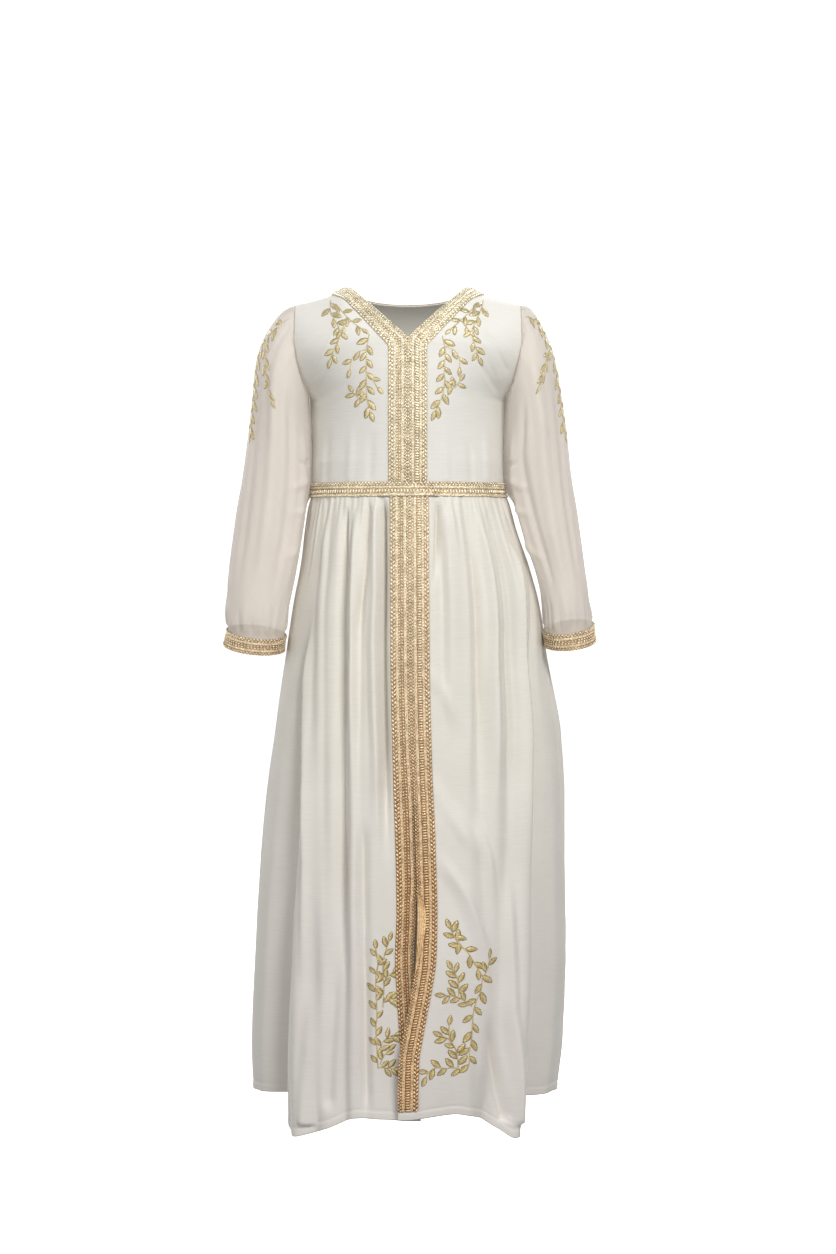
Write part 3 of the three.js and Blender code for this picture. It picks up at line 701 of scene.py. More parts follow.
@dataclass
class BodiceForm:
    """Worn shape of the bodice, in millimetres.

    Args:
        waist: Level of the waist seam.
        underarm: Level of the underarm.
        shoulder_roll: Height over which the shoulder turns over.
        armhole_half_depth: Half the depth of the armhole.
        corner: Level at which the front ray of the neck meets the armhole.
        gap: Gap at a seam.
        neck_half: Half width of the neck.
        neck_front: Depth of the V at the front.
        neck_back: Depth of the neck at the back.
        braid: Width of the braid.
        braid_at_shoulder: Width of the braid along the shoulder seam, seen from the front.
        braid_at_back: Width of the braid at the centre back, seen from behind.
        chest_arc: Share of a half ellipse that the section of the chest follows.
        creases: Soft folds of the front and the back.
    """

    waist: float = WAIST
    underarm: float = UNDERARM
    shoulder_roll: float = 70.0
    armhole_half_depth: float = ARMHOLE_HALF_DEPTH
    corner: float = -90.0
    gap: float = 0.06
    neck_half: float = 67.0
    neck_front: float = 61.0
    neck_back: float = 14.0
    braid: float = 21.0
    braid_at_shoulder: float = 18.5
    braid_at_back: float = 13.0
    chest_arc: float = 0.86
    creases: dict[Face, list[Crease]] = field(default_factory=dict)

    def point(self, x: Array, z: Array, face: Face) -> Array:
        """Point of the bodice by its x and its height below the shoulder line.

        Args:
            x: Signed distance from the middle.
            z: Height below the shoulder line.
            face: Front or back half.

        Returns:
            Points, one a row.
        """
        name = "front" if face is Face.FRONT else "back"
        half = BODICE_SECTIONS.at("half", z)
        reach = np.clip(1 + z / self.shoulder_roll, 0, 1)
        centre = BODICE_SECTIONS.at(name, z) * np.sqrt(1 - reach**2)
        middle = self.underarm / 2
        open_share = np.clip(1 - ((z - middle) / middle) ** 2, 0, 1)
        armhole = np.where(z > self.underarm, self.armhole_half_depth * np.sqrt(open_share), 0)
        bend = mix(1, self.chest_arc, rise(self.underarm - 70, self.underarm + 60, z))
        share = np.minimum(1, np.abs(x) / half)
        softened = self.armhole_half_depth * np.exp(-(((z - middle) / (0.76 * middle)) ** 2))
        softened = np.where(z > middle, armhole, softened)
        edge = np.maximum(self.gap / 2, mix(softened, armhole, share**10))
        flat = np.sqrt(np.maximum(0, 1 - bend**2))
        bowed = (np.sqrt(np.maximum(0, 1 - (bend * share) ** 2)) - flat) / (1 - flat)
        deep = edge + (np.maximum(centre, edge) - edge) * bowed
        soft = rise(0, 14, half - np.abs(x)) * rise(-4, -30, z)
        deep = deep + folded(self.creases.get(face, []), x, z) * soft
        fall = SHOULDER_FALL.at("fall", np.abs(x)) * rise(self.underarm, 0, z)
        return np.stack([x, face.value * deep, z + fall], axis=-1)

    def front(self, side: Side, u: Array, v: Array) -> Array:
        """Point of a front panel.

        Args:
            side: Side of the garment.
            u: 0 at the front or neck edge, 1 past the braid, 2 at the side.
            v: 0 at the waist, 1 at the foot of the V, 2 at the shoulder seam.

        Returns:
            Points, one a row.
        """
        waist = self.waist + self.gap / 2
        inner = self.gap / 2
        turn = mix(90, 0.1, v - 1) * DEGREE
        up = 1 - np.cos(np.clip(turn, 0, math.pi / 2))
        low = v <= 1
        edge_x = np.where(low, inner, mix(self.neck_half, inner, up))
        edge_z = np.where(low, mix(waist, -self.neck_front, v), -self.neck_front * up)
        shoulder_x = self.neck_half + self.braid_at_shoulder
        braid_x = np.where(low, inner + self.braid, mix(shoulder_x, inner + self.braid, up))
        braid_z = np.where(low, mix(waist, -self.shoulder_roll, v), -self.shoulder_roll * up)
        end_z = np.where(low, mix(waist, self.corner, v), self.corner * up)
        end_x = BODICE_SECTIONS.at("half", end_z)
        bend = mix(1, self.chest_arc, rise(self.underarm, self.underarm + 25, end_z))
        start = np.arcsin(np.clip(bend * braid_x / end_x, -1, 1))
        fan = end_x * np.sin(mix(start, np.arcsin(bend), np.clip(u - 1, 0, 1))) / bend
        x = np.where(u > 1, fan, mix(edge_x, braid_x, u))
        share = (fan - braid_x) / (end_x - braid_x)
        z = np.where(u > 1, mix(braid_z, end_z, share), mix(edge_z, braid_z, u))
        return self.point(side.value * x, z, Face.FRONT)

    def back(self, signed: Array, v: Array) -> Array:
        """Point of the back panel.

        Args:
            signed: -1 at the right shoulder seam, 0 at the centre, 1 at the left one.
            v: 0 at the neck, 1 past the braid, 2 at the waist, side or armhole.

        Returns:
            Points, one a row.
        """
        u = np.abs(signed)
        around = np.minimum(u * 90, 89.9) * DEGREE
        neck_x = self.neck_half * np.sin(around)
        neck_z = -self.neck_back * np.cos(around)
        braid_x = (self.neck_half + self.braid_at_shoulder) * np.sin(around)
        braid_z = -(self.neck_back + self.braid_at_back) * np.cos(around)
        waist = self.waist + self.gap / 2
        waist_end, side_end, widest = 0.4, 0.7, 80 * DEGREE
        low_turn = np.clip(u / waist_end, 0, 1) * 90 * DEGREE
        side_z = mix(waist, self.underarm, np.clip((u - waist_end) / 0.3, 0, 1))
        high_turn = mix(90, 0.1, np.clip((u - side_end) / 0.3, 0, 1)) * DEGREE
        high_z = self.underarm * (1 - np.cos(high_turn))
        end_z = np.where(u <= waist_end, waist, np.where(u <= side_end, side_z, high_z))
        end_x = BODICE_SECTIONS.at("half", end_z)
        end_x = np.where(u <= waist_end, end_x * np.sin(low_turn), end_x)
        far = np.sin(np.clip(v - 1, 0, 1) * widest) / math.sin(widest)
        x = np.where(v > 1, mix(braid_x, end_x, far), mix(neck_x, braid_x, v))
        z = np.where(v > 1, mix(braid_z, end_z, far), mix(neck_z, braid_z, v))
        return self.point(np.sign(signed) * x, z, Face.BACK)

    def braid_line(self, side: Side, u: Array, v: Array) -> Array:
        """Point under the braid, up the front and round the neck.

        Args:
            side: Side of the garment.
            u: 0 at the edge, 1 across the braid.
            v: 0 at the waist, 2 at the shoulder seam, 3 at the centre back.

        Returns:
            Points, one a row.
        """
        front = self.front(side, u, np.minimum(v, 2))
        back = self.back(side.value * mix(1, 0.002, np.clip(v - 2, 0, 1)), u)
        return np.where((v <= 2)[..., None], front, back)

    def seen(self, x: Array, z: Array) -> Array:
        """Point of the front at a seen place.

        Args:
            x: Signed distance from the middle.
            z: Level.

        Returns:
            Points, one a row.
        """
        low = z - SHOULDER_FALL.at("fall", np.abs(x)) * rise(self.underarm, 0, z)
        low = z - SHOULDER_FALL.at("fall", np.abs(x)) * rise(self.underarm, 0, low)
        return self.point(x, np.minimum(low, -0.5), Face.FRONT)


@dataclass
class SkirtForm:
    """Worn shape of the skirt, in millimetres.

    Args:
        top: Level of the waist seam.
        braid: Width of the braid.
        under: Depth by which the right edge lies under the left one.
        over: Height by which the left edge lies over the right one.
        proud: Height by which the left front stands out below the knee.
        mean_hem: Level of the hem where it is neither high nor low.
        hem_top: Heights above the hem between which its turning ends.
        groove: Height of the stitched groove above the hem, and half its width.
        creases: Soft folds of each side, by their place round the skirt and their level.
    """

    # Millimetres round the waist for each degree, and the angles of the two sides of a side seam.
    ROUND = 2.35
    SIDE_SEAM = 89.985
    BACK_SEAM = 90.015

    top: float = WAIST - 0.3
    braid: float = 21.0
    under: float = 2.2
    over: float = 3.6
    proud: float = 6.0
    mean_hem: float = -925
    hem_top: tuple[float, float] = (7.0, 8.6)
    groove: tuple[float, float] = (9.4, 0.9)
    creases: dict[Side, list[Crease]] = field(default_factory=dict)

    def folds(self, side: Side, angle: Array, z: Array) -> Array:
        """Height of every fold of one side.

        Args:
            side: Side of the skirt.
            angle: Angles from the centre front.
            z: Levels.

        Returns:
            Heights outwards.
        """
        height = np.zeros(np.shape(angle))
        for fold in MAIN_FOLDS[side]:
            height = height + fold.lift(angle, z)
        return height + folded(self.creases.get(side, []), self.ROUND * angle, z)

    def point(self, side: Side, angle: Array, z: Array, lift: Array) -> Array:
        """Point of the skirt by its angle from the centre front and its level.

        Args:
            side: Side of the skirt.
            angle: Angle from the centre front, in degrees.
            z: Level.
            lift: Distance outwards.

        Returns:
            Points, one a row.
        """
        half = SKIRT_SECTIONS.at(side.word, z)
        front = SKIRT_SECTIONS.at("front", z)
        depth = np.where(angle < 90, front, SKIRT_SECTIONS.at("back", z))
        turn = angle * DEGREE
        out_x = side.value * np.sin(turn) / half
        out_y = -np.cos(turn) / depth
        length = np.hypot(out_x, out_y)
        far = lift + self.folds(side, np.abs(angle), z)
        x = side.value * half * np.sin(turn) + out_x / length * far
        y = -depth * np.cos(turn) + out_y / length * far
        return np.stack([x, y, z], axis=-1)

    def edge_lift(self, side: Side, from_edge: Array, x: Array, z: Array) -> Array:
        """Distance that the front edges stand over or under each other.

        Args:
            side: Side of the skirt.
            from_edge: Distance from the front edge.
            x: Distance from the middle.
            z: Level.

        Returns:
            Distances outwards.
        """
        near = 1 - rise(24, 74, from_edge)
        lap = near * (1 - rise(-745, -640, z))
        if side is Side.RIGHT:
            return -self.under * lap
        inside = 1 - rise(-16, 16, x - PROUD_LINE.at("x", z))
        level = (1 - rise(-600, -520, z)) * rise(-927, -850, z)
        return self.over * lap + self.proud * inside * level

    def hem_lift(self, above: Array) -> Array:
        """Height of the turned hem, by the distance above the hem's edge."""
        middle, half = self.groove
        return 0.4 * (1 - rise(*self.hem_top, above)) - 0.5 * np.exp(-(((above - middle) / half) ** 2))

    def front(self, side: Side, u: Array, v: Array) -> Array:
        """Point of a front panel.

        Args:
            side: Side of the skirt.
            u: 0 at the front edge, 1 past the braid, 2 at the side seam.
            v: 0 at the waist, 1 at the hem.

        Returns:
            Points, one a row.
        """
        level = mix(self.top, self.mean_hem, v)
        half = SKIRT_SECTIONS.at(side.word, level)
        edge = FRONT_EDGES.at(side.word, level)
        start = -edge if side is Side.RIGHT else edge
        braid = np.degrees(np.arcsin((start + self.braid) / half))
        near = np.degrees(np.arcsin(np.clip((start + self.braid * u) / half, -1, 1)))
        spread = np.maximum(u - 1, 0) ** mix(1, 1.35, v)
        angle = np.where(u <= 1, near, mix(braid, self.SIDE_SEAM, spread))
        hem = HEM_LEVELS.at(side.word, np.maximum(0, angle))
        z = mix(self.top, hem, v)
        x = half * np.sin(angle * DEGREE)
        lift = self.edge_lift(side, x - start, x, z) + self.hem_lift(z - hem)
        return self.point(side, angle, z, lift)

    def back(self, signed: Array, v: Array) -> Array:
        """Point of the back panel.

        Args:
            signed: -1 at the right side seam, 0 at the centre back, 1 at the left side seam.
            v: 0 at the waist, 1 at the hem.

        Returns:
            Points, one a row.
        """
        angle = mix(180, self.BACK_SEAM, np.abs(signed))
        shapes = []
        for side in Side:
            hem = HEM_LEVELS.at(side.word, angle)
            z = mix(self.top, hem, v)
            shapes.append(self.point(side, angle, z, self.hem_lift(z - hem)))
        return np.where((signed < 0)[..., None], shapes[0], shapes[1])

    def seen(self, side: Side, x: Array, z: Array) -> Array:
        """Point of a front panel at a seen place.

        Args:
            side: Side of the skirt.
            x: Signed distance from the middle.
            z: Level.

        Returns:
            Points, one a row.
        """
        half = SKIRT_SECTIONS.at(side.word, z)
        edge = FRONT_EDGES.at(side.word, z)
        start = -edge if side is Side.RIGHT else edge
        away = side.value * x
        angle = np.degrees(np.arcsin(np.clip(away / half, -1, 1)))
        return self.point(side, angle, z, self.edge_lift(side, away - start, away, z))


@dataclass
class SleeveForm:
    """Worn shape of one sleeve, in millimetres.

    Args:
        side: Side of the garment.
        creases: Soft folds, by their place round the sleeve and down it.
        fuller: Fullness of the cloth behind the underarm.
    """

    # Millimetres round the sleeve, and the number of its last section.
    ROUND = 260.0
    LAST = len(ROW_RUNS) - 1

    side: Side
    creases: list[Crease] = field(default_factory=list)
    fuller: float = 15.0

    def ring(self, row: int, u: Array) -> Array:
        """Points of one section, row 0 being the armhole.

        Args:
            row: Number of the section.
            u: Turn from the top of the section towards the front.

        Returns:
            Points, one a row.
        """
        turn = u * 2 * math.pi
        if row == 0:
            z = UNDERARM * (1 - np.cos(turn)) / 2
            x = BODICE_SECTIONS.at("half", z)
            gap = mix(0.7, 1.7, (1 - np.cos(turn)) / 2) + 0.4 * np.sin(turn) ** 2
            fall = SHOULDER_FALL.at("fall", x) * rise(UNDERARM, 0, z)
            return np.stack([x + gap, -ARMHOLE_HALF_DEPTH * np.sin(turn), z + fall], axis=-1)
        table = SLEEVE_SECTIONS[self.side]
        out_x, out_z, in_x, in_z, y, depth, drop = (float(table.at(n, row)) for n in table.names[1:])
        across = (1 + np.cos(turn)) / 2
        z = mix(in_z, out_z, across) - drop * np.sin(turn)
        return np.stack([mix(in_x, out_x, across), y - depth * np.sin(turn), z], axis=-1)

    def bare(self, u: Array, v: Array) -> Array:
        """Point of the sleeve before its small folds.

        Args:
            u: Turn from the top of the section towards the front.
            v: Number of the section, with parts.

        Returns:
            Points, one a row.
        """
        rings = np.stack([self.ring(row, u) for row in range(self.LAST + 1)])
        i = np.clip(np.floor(v).astype(int), 0, self.LAST - 1)
        t = (v - i)[..., None]
        spot = tuple(np.indices(np.shape(v)))

        def held(row: Array) -> Array:
            """Ring point of each place, held at the ends."""
            return rings[(np.clip(row, 0, self.LAST), *spot)]

        point = through(held(i - 1), held(i), held(i + 1), held(i + 2), t)
        run = SLEEVE_RUN.at("run", v)
        behind = np.exp(-(((np.asarray(u) % 1 - 0.6) / 0.08) ** 2))
        fuller = behind * rise(5, 36, run) * (1 - rise(150, 215, run))
        point[..., 0] -= self.fuller * fuller
        point[..., 1] += 0.85 * self.fuller * fuller
        point[..., 0] *= self.side.value
        return point

    def point(self, u: Array, v: Array) -> Array:
        """Point of the sleeve with its folds.

        Args:
            u: Turn from the top of the section towards the front.
            v: Number of the section, with parts.

        Returns:
            Points, one a row.
        """
        point = self.bare(u, v)
        if not self.creases:
            return point
        step = 1e-3
        along = self.bare(u + step, v) - self.bare(u - step, v)
        down = self.bare(u, np.minimum(v + step, self.LAST)) - self.bare(u, np.maximum(v - step, 0))
        normal = unit(np.cross(along, down)) * self.side.value
        height = np.zeros(np.shape(u))
        run = SLEEVE_RUN.at("run", v)
        for turn in (-1, 0, 1):
            height = height + folded(self.creases, self.ROUND * (u + turn), run)
        quiet = rise(0.0, 0.5, v) * (1 - rise(11.0, 11.7, v))
        return point + normal * (height * quiet)[..., None]

    def seen(self, away: Array, down: Array) -> Array:
        """Point at a distance round from the top and a distance down, in millimetres."""
        return self.point(away / self.ROUND, RUN_SLEEVE.at("row", down))

    def inside(self, points: Array) -> Array:
        """Points near the middle of the arm of the sleeve, level with the given ones."""
        z = points[..., 2]
        return np.stack([self.side.value * (128 - z * 0.13), np.full(z.shape, -8.0), z - 20], axis=-1)


@dataclass(frozen=True)
class Paint:
    """Colour in sRGB values, which a shader wants as linear ones.

    Args:
        red: Red, 0 to 255.
        green: Green.
        blue: Blue.
    """

    red: float
    green: float
    blue: float

    @property
    def linear(self) -> tuple[float, float, float, float]:
        """Scene-linear colour with full cover."""
        shares = [value / 255 for value in (self.red, self.green, self.blue)]
        bare = [s / 12.92 if s <= 0.04045 else ((s + 0.055) / 1.055) ** 2.4 for s in shares]
        return (*bare, 1.0)


class Shader:
    """Builds one material node by node."""

    def __init__(self, name: str) -> None:
        """Start an empty material with a principled surface.

        Args:
            name: Name of the material.
        """
        self.material = bpy.data.materials.new(name)
        self.material.use_nodes = True
        self.tree = self.material.node_tree
        self.tree.nodes.clear()
        self.output = self.tree.nodes.new("ShaderNodeOutputMaterial")
        self.surface = self.tree.nodes.new("ShaderNodeBsdfPrincipled")
        self.tree.links.new(self.surface.outputs[0], self.output.inputs["Surface"])

    def set(self, **values: float) -> None:
        """Set plain values on the surface's sockets, by name with _ for spaces."""
        for name, value in values.items():
            self.surface.inputs[name.replace("_", " ")].default_value = value

    def node(self, kind: str, **settings: object) -> bpy.types.Node:
        """Add a node.

        Args:
            kind: Node type after ShaderNode.
            **settings: Its properties, or inputs where the name starts with in_.

        Returns:
            The node.
        """
        node = self.tree.nodes.new("ShaderNode" + kind)
        for name, value in settings.items():
            if name.startswith("in_"):
                key = name[3:].replace("_", " ")
                socket = node.inputs[int(key)] if key.isdigit() else node.inputs[key]
                if isinstance(value, Socket):
                    self.tree.links.new(value, socket)
                else:
                    socket.default_value = value
            else:
                setattr(node, name, value)
        return node

    def link(self, source: Socket, name: str) -> None:
        """Link a socket to one of the surface's inputs."""
        self.tree.links.new(source, self.surface.inputs[name])

    def ramp(self, factor: Socket, stops: list[tuple[float, tuple]]) -> Socket:
        """Colour ramp over a factor.

        Args:
            factor: Socket that drives it.
            stops: Positions and colours.

        Returns:
            Its colour socket.
        """
        node = self.node("ValToRGB", in_Fac=factor)
        elements = node.color_ramp.elements
        elements[0].position, elements[0].color = stops[0]
        elements[1].position, elements[1].color = stops[-1]
        for position, colour in stops[1:-1]:
            elements.new(position).color = colour
        return node.outputs["Color"]

    def blend(self, factor: object, first: object, second: object, mode: str = "MIX") -> Socket:
        """Mix two colours.

        Args:
            factor: Socket or number.
            first: Colour or socket.
            second: Colour or socket.
            mode: Blend mode.

        Returns:
            The mixed colour.
        """
        node = self.node("Mix", data_type="RGBA", blend_type=mode)
        for index, value in ((0, factor), (6, first), (7, second)):
            if isinstance(value, Socket):
                self.tree.links.new(value, node.inputs[index])
            else:
                node.inputs[index].default_value = value
        return node.outputs[2]

    def flat(self, **settings: Triple) -> Socket:
        """Flat cloth coordinates in metres, changed by the settings of a Mapping node."""
        uv = self.node("UVMap", uv_map="cloth")
        return self.node("Mapping", in_Vector=uv.outputs[0], **settings).outputs[0]

    def object_point(self) -> Socket:
        """Object coordinates in metres."""
        return self.node("TexCoord").outputs["Object"]

    def level(self) -> Socket:
        """Level in metres."""
        return self.node("SeparateXYZ", in_0=self.object_point()).outputs["Z"]

    def noise(self, vector: Socket, scale: float, detail: float, **more: float) -> Socket:
        """Noise over coordinates."""
        return self.node("TexNoise", in_Vector=vector, in_Scale=scale, in_Detail=detail, **more).outputs[0]

    def ranged(self, value: Socket, end: str, low: float, high: float) -> Socket:
        """Value mapped from a range to 0 to 1, or from 0 to 1 to a range.

        Args:
            value: Value to map.
            end: From or To, the end that the range is at.
            low: Start of the range.
            high: End of the range.

        Returns:
            The mapped value.
        """
        node = self.node("MapRange", in_Value=value)
        node.inputs[f"{end} Min"].default_value = low
        node.inputs[f"{end} Max"].default_value = high
        return node.outputs[0]

    def bump(self, height: Socket, distance: float, strength: float) -> None:
        """Bump the surface by a height.

        Args:
            height: Height socket.
            distance: Depth in metres.
            strength: Share of it.
        """
        node = self.node("Bump", in_Height=height, in_Distance=distance, in_Strength=strength)
        self.link(node.outputs[0], "Normal")


@dataclass(frozen=True)
class ClothFinish:
    """Fine crepe cloth with slubs that run across the panel.

    Args:
        name: Name of the material.
        colour: Colour of the cloth.
        shade: Colour in its hollows.
        cover: Share of light that it stops.
        roughness: Roughness of the surface.
        slub: Depth of the slubs in metres.
    """

    # Scales of the patterns across and down the flat cloth.
    SLUBS = (38, 900, 1)
    CREPE = (900, 1500, 1)
    PATCHES = (9, 14, 1)
    # Levels in metres between which the cloth takes on its cooler tint: painted light, for the cooler light
    # low on the skirt.
    TINTED = (-0.45, -0.85)
    TINT = (1, 0.99, 1.03, 1)

    name: str
    colour: Paint
    shade: Paint
    cover: float = 1.0
    roughness: float = 0.72
    slub: float = 0.00035

    def make(self) -> bpy.types.Material:
        """Build the material.

        Returns:
            The material.
        """
        shader = Shader(self.name)
        slubs = shader.noise(shader.flat(in_Scale=self.SLUBS), 1.0, 4.0, in_Roughness=0.6)
        crepe = shader.noise(shader.flat(in_Scale=self.CREPE), 1.0, 2.0)
        patches = shader.noise(shader.flat(in_Scale=self.PATCHES), 1.0, 3.0)
        tone = shader.ramp(slubs, [(0.32, self.shade.linear), (0.62, self.colour.linear)])
        soft = shader.blend(0.82, tone, self.colour.linear)
        cloud = shader.ramp(patches, [(0.3, (0.95, 0.945, 0.935, 1)), (0.7, WHITE)])
        # Painted light: the cloth turns a little cooler lower down, for the cooler light on the lower skirt.
        low = shader.blend(shader.ranged(shader.level(), "From", *self.TINTED), WHITE, self.TINT)
        toned = shader.blend(1.0, soft, cloud, "MULTIPLY")
        shader.link(shader.blend(1.0, toned, low, "MULTIPLY"), "Base Color")
        rough = shader.ranged(slubs, "To", self.roughness + 0.08, self.roughness - 0.06)
        shader.link(rough, "Roughness")
        relief = shader.node("Math", operation="MULTIPLY_ADD", in_0=crepe, in_1=0.35, in_2=slubs)
        shader.bump(relief.outputs[0], self.slub, 0.35)
        shader.set(Sheen_Weight=0.25, Sheen_Roughness=0.4, Specular_IOR_Level=0.3, Alpha=self.cover)
        return shader.material


@dataclass(frozen=True)
class ThreadFinish:
    """Metallic thread, paler near the neck and darker and redder near the hem: painted light, the gold lit
    more above than below.

    Args:
        name: Name of the material.
        top: Colour near the neck.
        low: Colour near the hem.
        metal: Share of metal.
        roughness: Roughness of the surface.
        pitch: Threads for each metre.
        angle: Slant of the threads, in degrees.
    """

    # Levels in metres between which the top colour fades into the low one: painted light, paler up high where
    # the gold is lit more.
    FADE = (-0.08, -0.66)

    name: str
    top: Paint
    low: Paint
    metal: float = 0.6
    roughness: float = 0.42
    pitch: float = 1400.0
    angle: float = 35.0

    def make(self) -> bpy.types.Material:
        """Build the material.

        Returns:
            The material.
        """
        shader = Shader(self.name)
        # Painted light: the thread runs from a paler, lit colour near the neck to a darker, redder one near
        # the hem.
        painted_light_fall = shader.ranged(shader.level(), "From", *self.FADE)
        colour = shader.blend(painted_light_fall, self.top.linear, self.low.linear)
        turned = shader.flat(in_Rotation=(0, 0, self.angle * DEGREE))
        wave = {"in_Scale": self.pitch / 20, "in_Distortion": 1.5, "in_Detail": 1.0}
        threads = shader.node("TexWave", in_Vector=turned, **wave).outputs[1]
        # Painted shade: fine dark specks stand in for the shade between the strands of the thread.
        specks = shader.noise(turned, 650.0, 3.0)
        dark = shader.ramp(specks, [(0.36, (0.4, 0.33, 0.24, 1)), (0.56, WHITE)])
        # Painted glints: the thread is dimmed in soft patches, so that the brighter ones between stand in for
        # light catching the metal.
        patches = shader.noise(shader.object_point(), 140.0, 2.0)
        glint_patches = shader.ramp(patches, [(0.36, (0.74, 0.72, 0.68, 1)), (0.6, WHITE)])
        speck_shaded = shader.blend(0.8, colour, dark, "MULTIPLY")
        shader.link(shader.blend(0.8, speck_shaded, glint_patches, "MULTIPLY"), "Base Color")
        rough = shader.ranged(threads, "To", self.roughness + 0.12, self.roughness - 0.1)
        shader.link(rough, "Roughness")
        shader.bump(threads, 0.00025, 0.6)
        shader.set(Metallic=self.metal, Specular_IOR_Level=0.5)
        return shader.material


class Finishes:
    """Every material of the garment, made once."""

    def __init__(self) -> None:
        """Make the materials."""
        self.bodice = ClothFinish("bodice_crepe", Paint(231, 229, 222), Paint(202, 197, 188)).make()
        # The skirt's crepe is painted a little darker than the bodice's: painted shade for the dimmer light
        # on the skirt.
        self.skirt = ClothFinish("skirt_crepe", Paint(227, 223, 213), Paint(196, 190, 179)).make()
        sheer = (Paint(237, 228, 218), Paint(212, 202, 189))
        self.sleeve = ClothFinish("sleeve_chiffon", *sheer, cover=0.46, roughness=0.6, slub=0.0002).make()
        self.rope = self.thread("rope_thread", (251, 247, 228), (223, 193, 151), 0.55, 0.34)
        self.rib = self.thread("rib_thread", (249, 243, 222), (225, 197, 157), 0.35, 0.48, 1800.0, 90.0)
        self.seed = self.thread("seed_thread", (250, 244, 222), (217, 183, 139), 0.55, 0.34)
        # The tape is painted dark brown, darker still near the hem: painted shade for the gaps between the
        # stitches, where it shows.
        self.tape = self.thread("tape_thread", (204, 186, 150), (139, 101, 63), 0.35, 0.5)
        self.leaf = self.thread("leaf_thread", (220, 208, 168), (200, 183, 134), 0.35, 0.42, 2200.0, 60.0)
        self.leaf_shade = self.thread(
            "leaf_shade_thread", (202, 188, 144), (174, 154, 102), 0.35, 0.45, 2200.0, 120.0
        )
        self.outline = self.thread("outline_thread", (172, 157, 106), (138, 121, 70), 0.35, 0.5, 2200.0, 0.0)
        self.turned = self.thread("turned_tape", (232, 218, 184), (222, 190, 144), 0.5, 0.42, 1200.0, 90.0)

    def thread(self, name: str, top: tuple, low: tuple, *more: float) -> bpy.types.Material:
        """Make a thread from its colours near the neck and near the hem, and the rest of its finish."""
        return ThreadFinish(name, Paint(*top), Paint(*low), *more).make()


def as_mesh(work: Work, name: str) -> Mesh:
    """Turn modelled work into a mesh and free it.

    Args:
        work: The work.
        name: Name of the mesh.

    Returns:
        The mesh.
    """
    mesh = bpy.data.meshes.new(name)
    work.to_mesh(mesh)
    work.free()
    return mesh


def points_of(mesh: Mesh) -> Array:
    """Places of a mesh's points, one a row."""
    places = np.empty(len(mesh.vertices) * 3)
    mesh.vertices.foreach_get("co", places)
    return places.reshape(-1, 3)


def lay(mesh: Mesh, places: Array, merge: float = 0.0) -> None:
    """Move a flat mesh's points to their places on the wearer and turn its faces outwards.

    Args:
        mesh: Mesh to change.
        places: New places in millimetres, one a row.
        merge: Distance in metres within which points become one.
    """
    mesh.vertices.foreach_set("co", (places * MM).ravel())
    mesh.update()
    work = bmesh.new()
    work.from_mesh(mesh)
    if merge:
        bmesh.ops.remove_doubles(work, verts=work.verts, dist=merge)
    bmesh.ops.recalc_face_normals(work, faces=work.faces)
    work.to_mesh(mesh)
    work.free()


def dress(mesh: Mesh, name: str, *materials: bpy.types.Material) -> Piece:
    """Put a mesh in the scene with its materials.

    Args:
        mesh: Mesh to show.
        name: Name of the piece.
        *materials: Materials in slot order.

    Returns:
        The new object.
    """
    mesh.name = name
    for material in materials:
        mesh.materials.append(material)
    mesh.polygons.foreach_set("use_smooth", [True] * len(mesh.polygons))
    piece = bpy.data.objects.new(name, mesh)
    bpy.context.scene.collection.objects.link(piece)
    return piece


def settle(piece: Piece, slot: str, *nodes: str) -> Piece:
    """Tie a piece to the frame.

    Args:
        piece: Piece to tie.
        slot: Name of its finish, which only goes to the log.
        *nodes: Nodes that it stands for.

    Returns:
        The piece.
    """
    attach(piece, "root")
    if nodes:
        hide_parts(*nodes)
    area = sum(face.area for face in piece.data.polygons)
    LOG.info("%s: %d faces, %.4f square metres, slot %s", piece.name, len(piece.data.polygons), area, slot)
    return piece


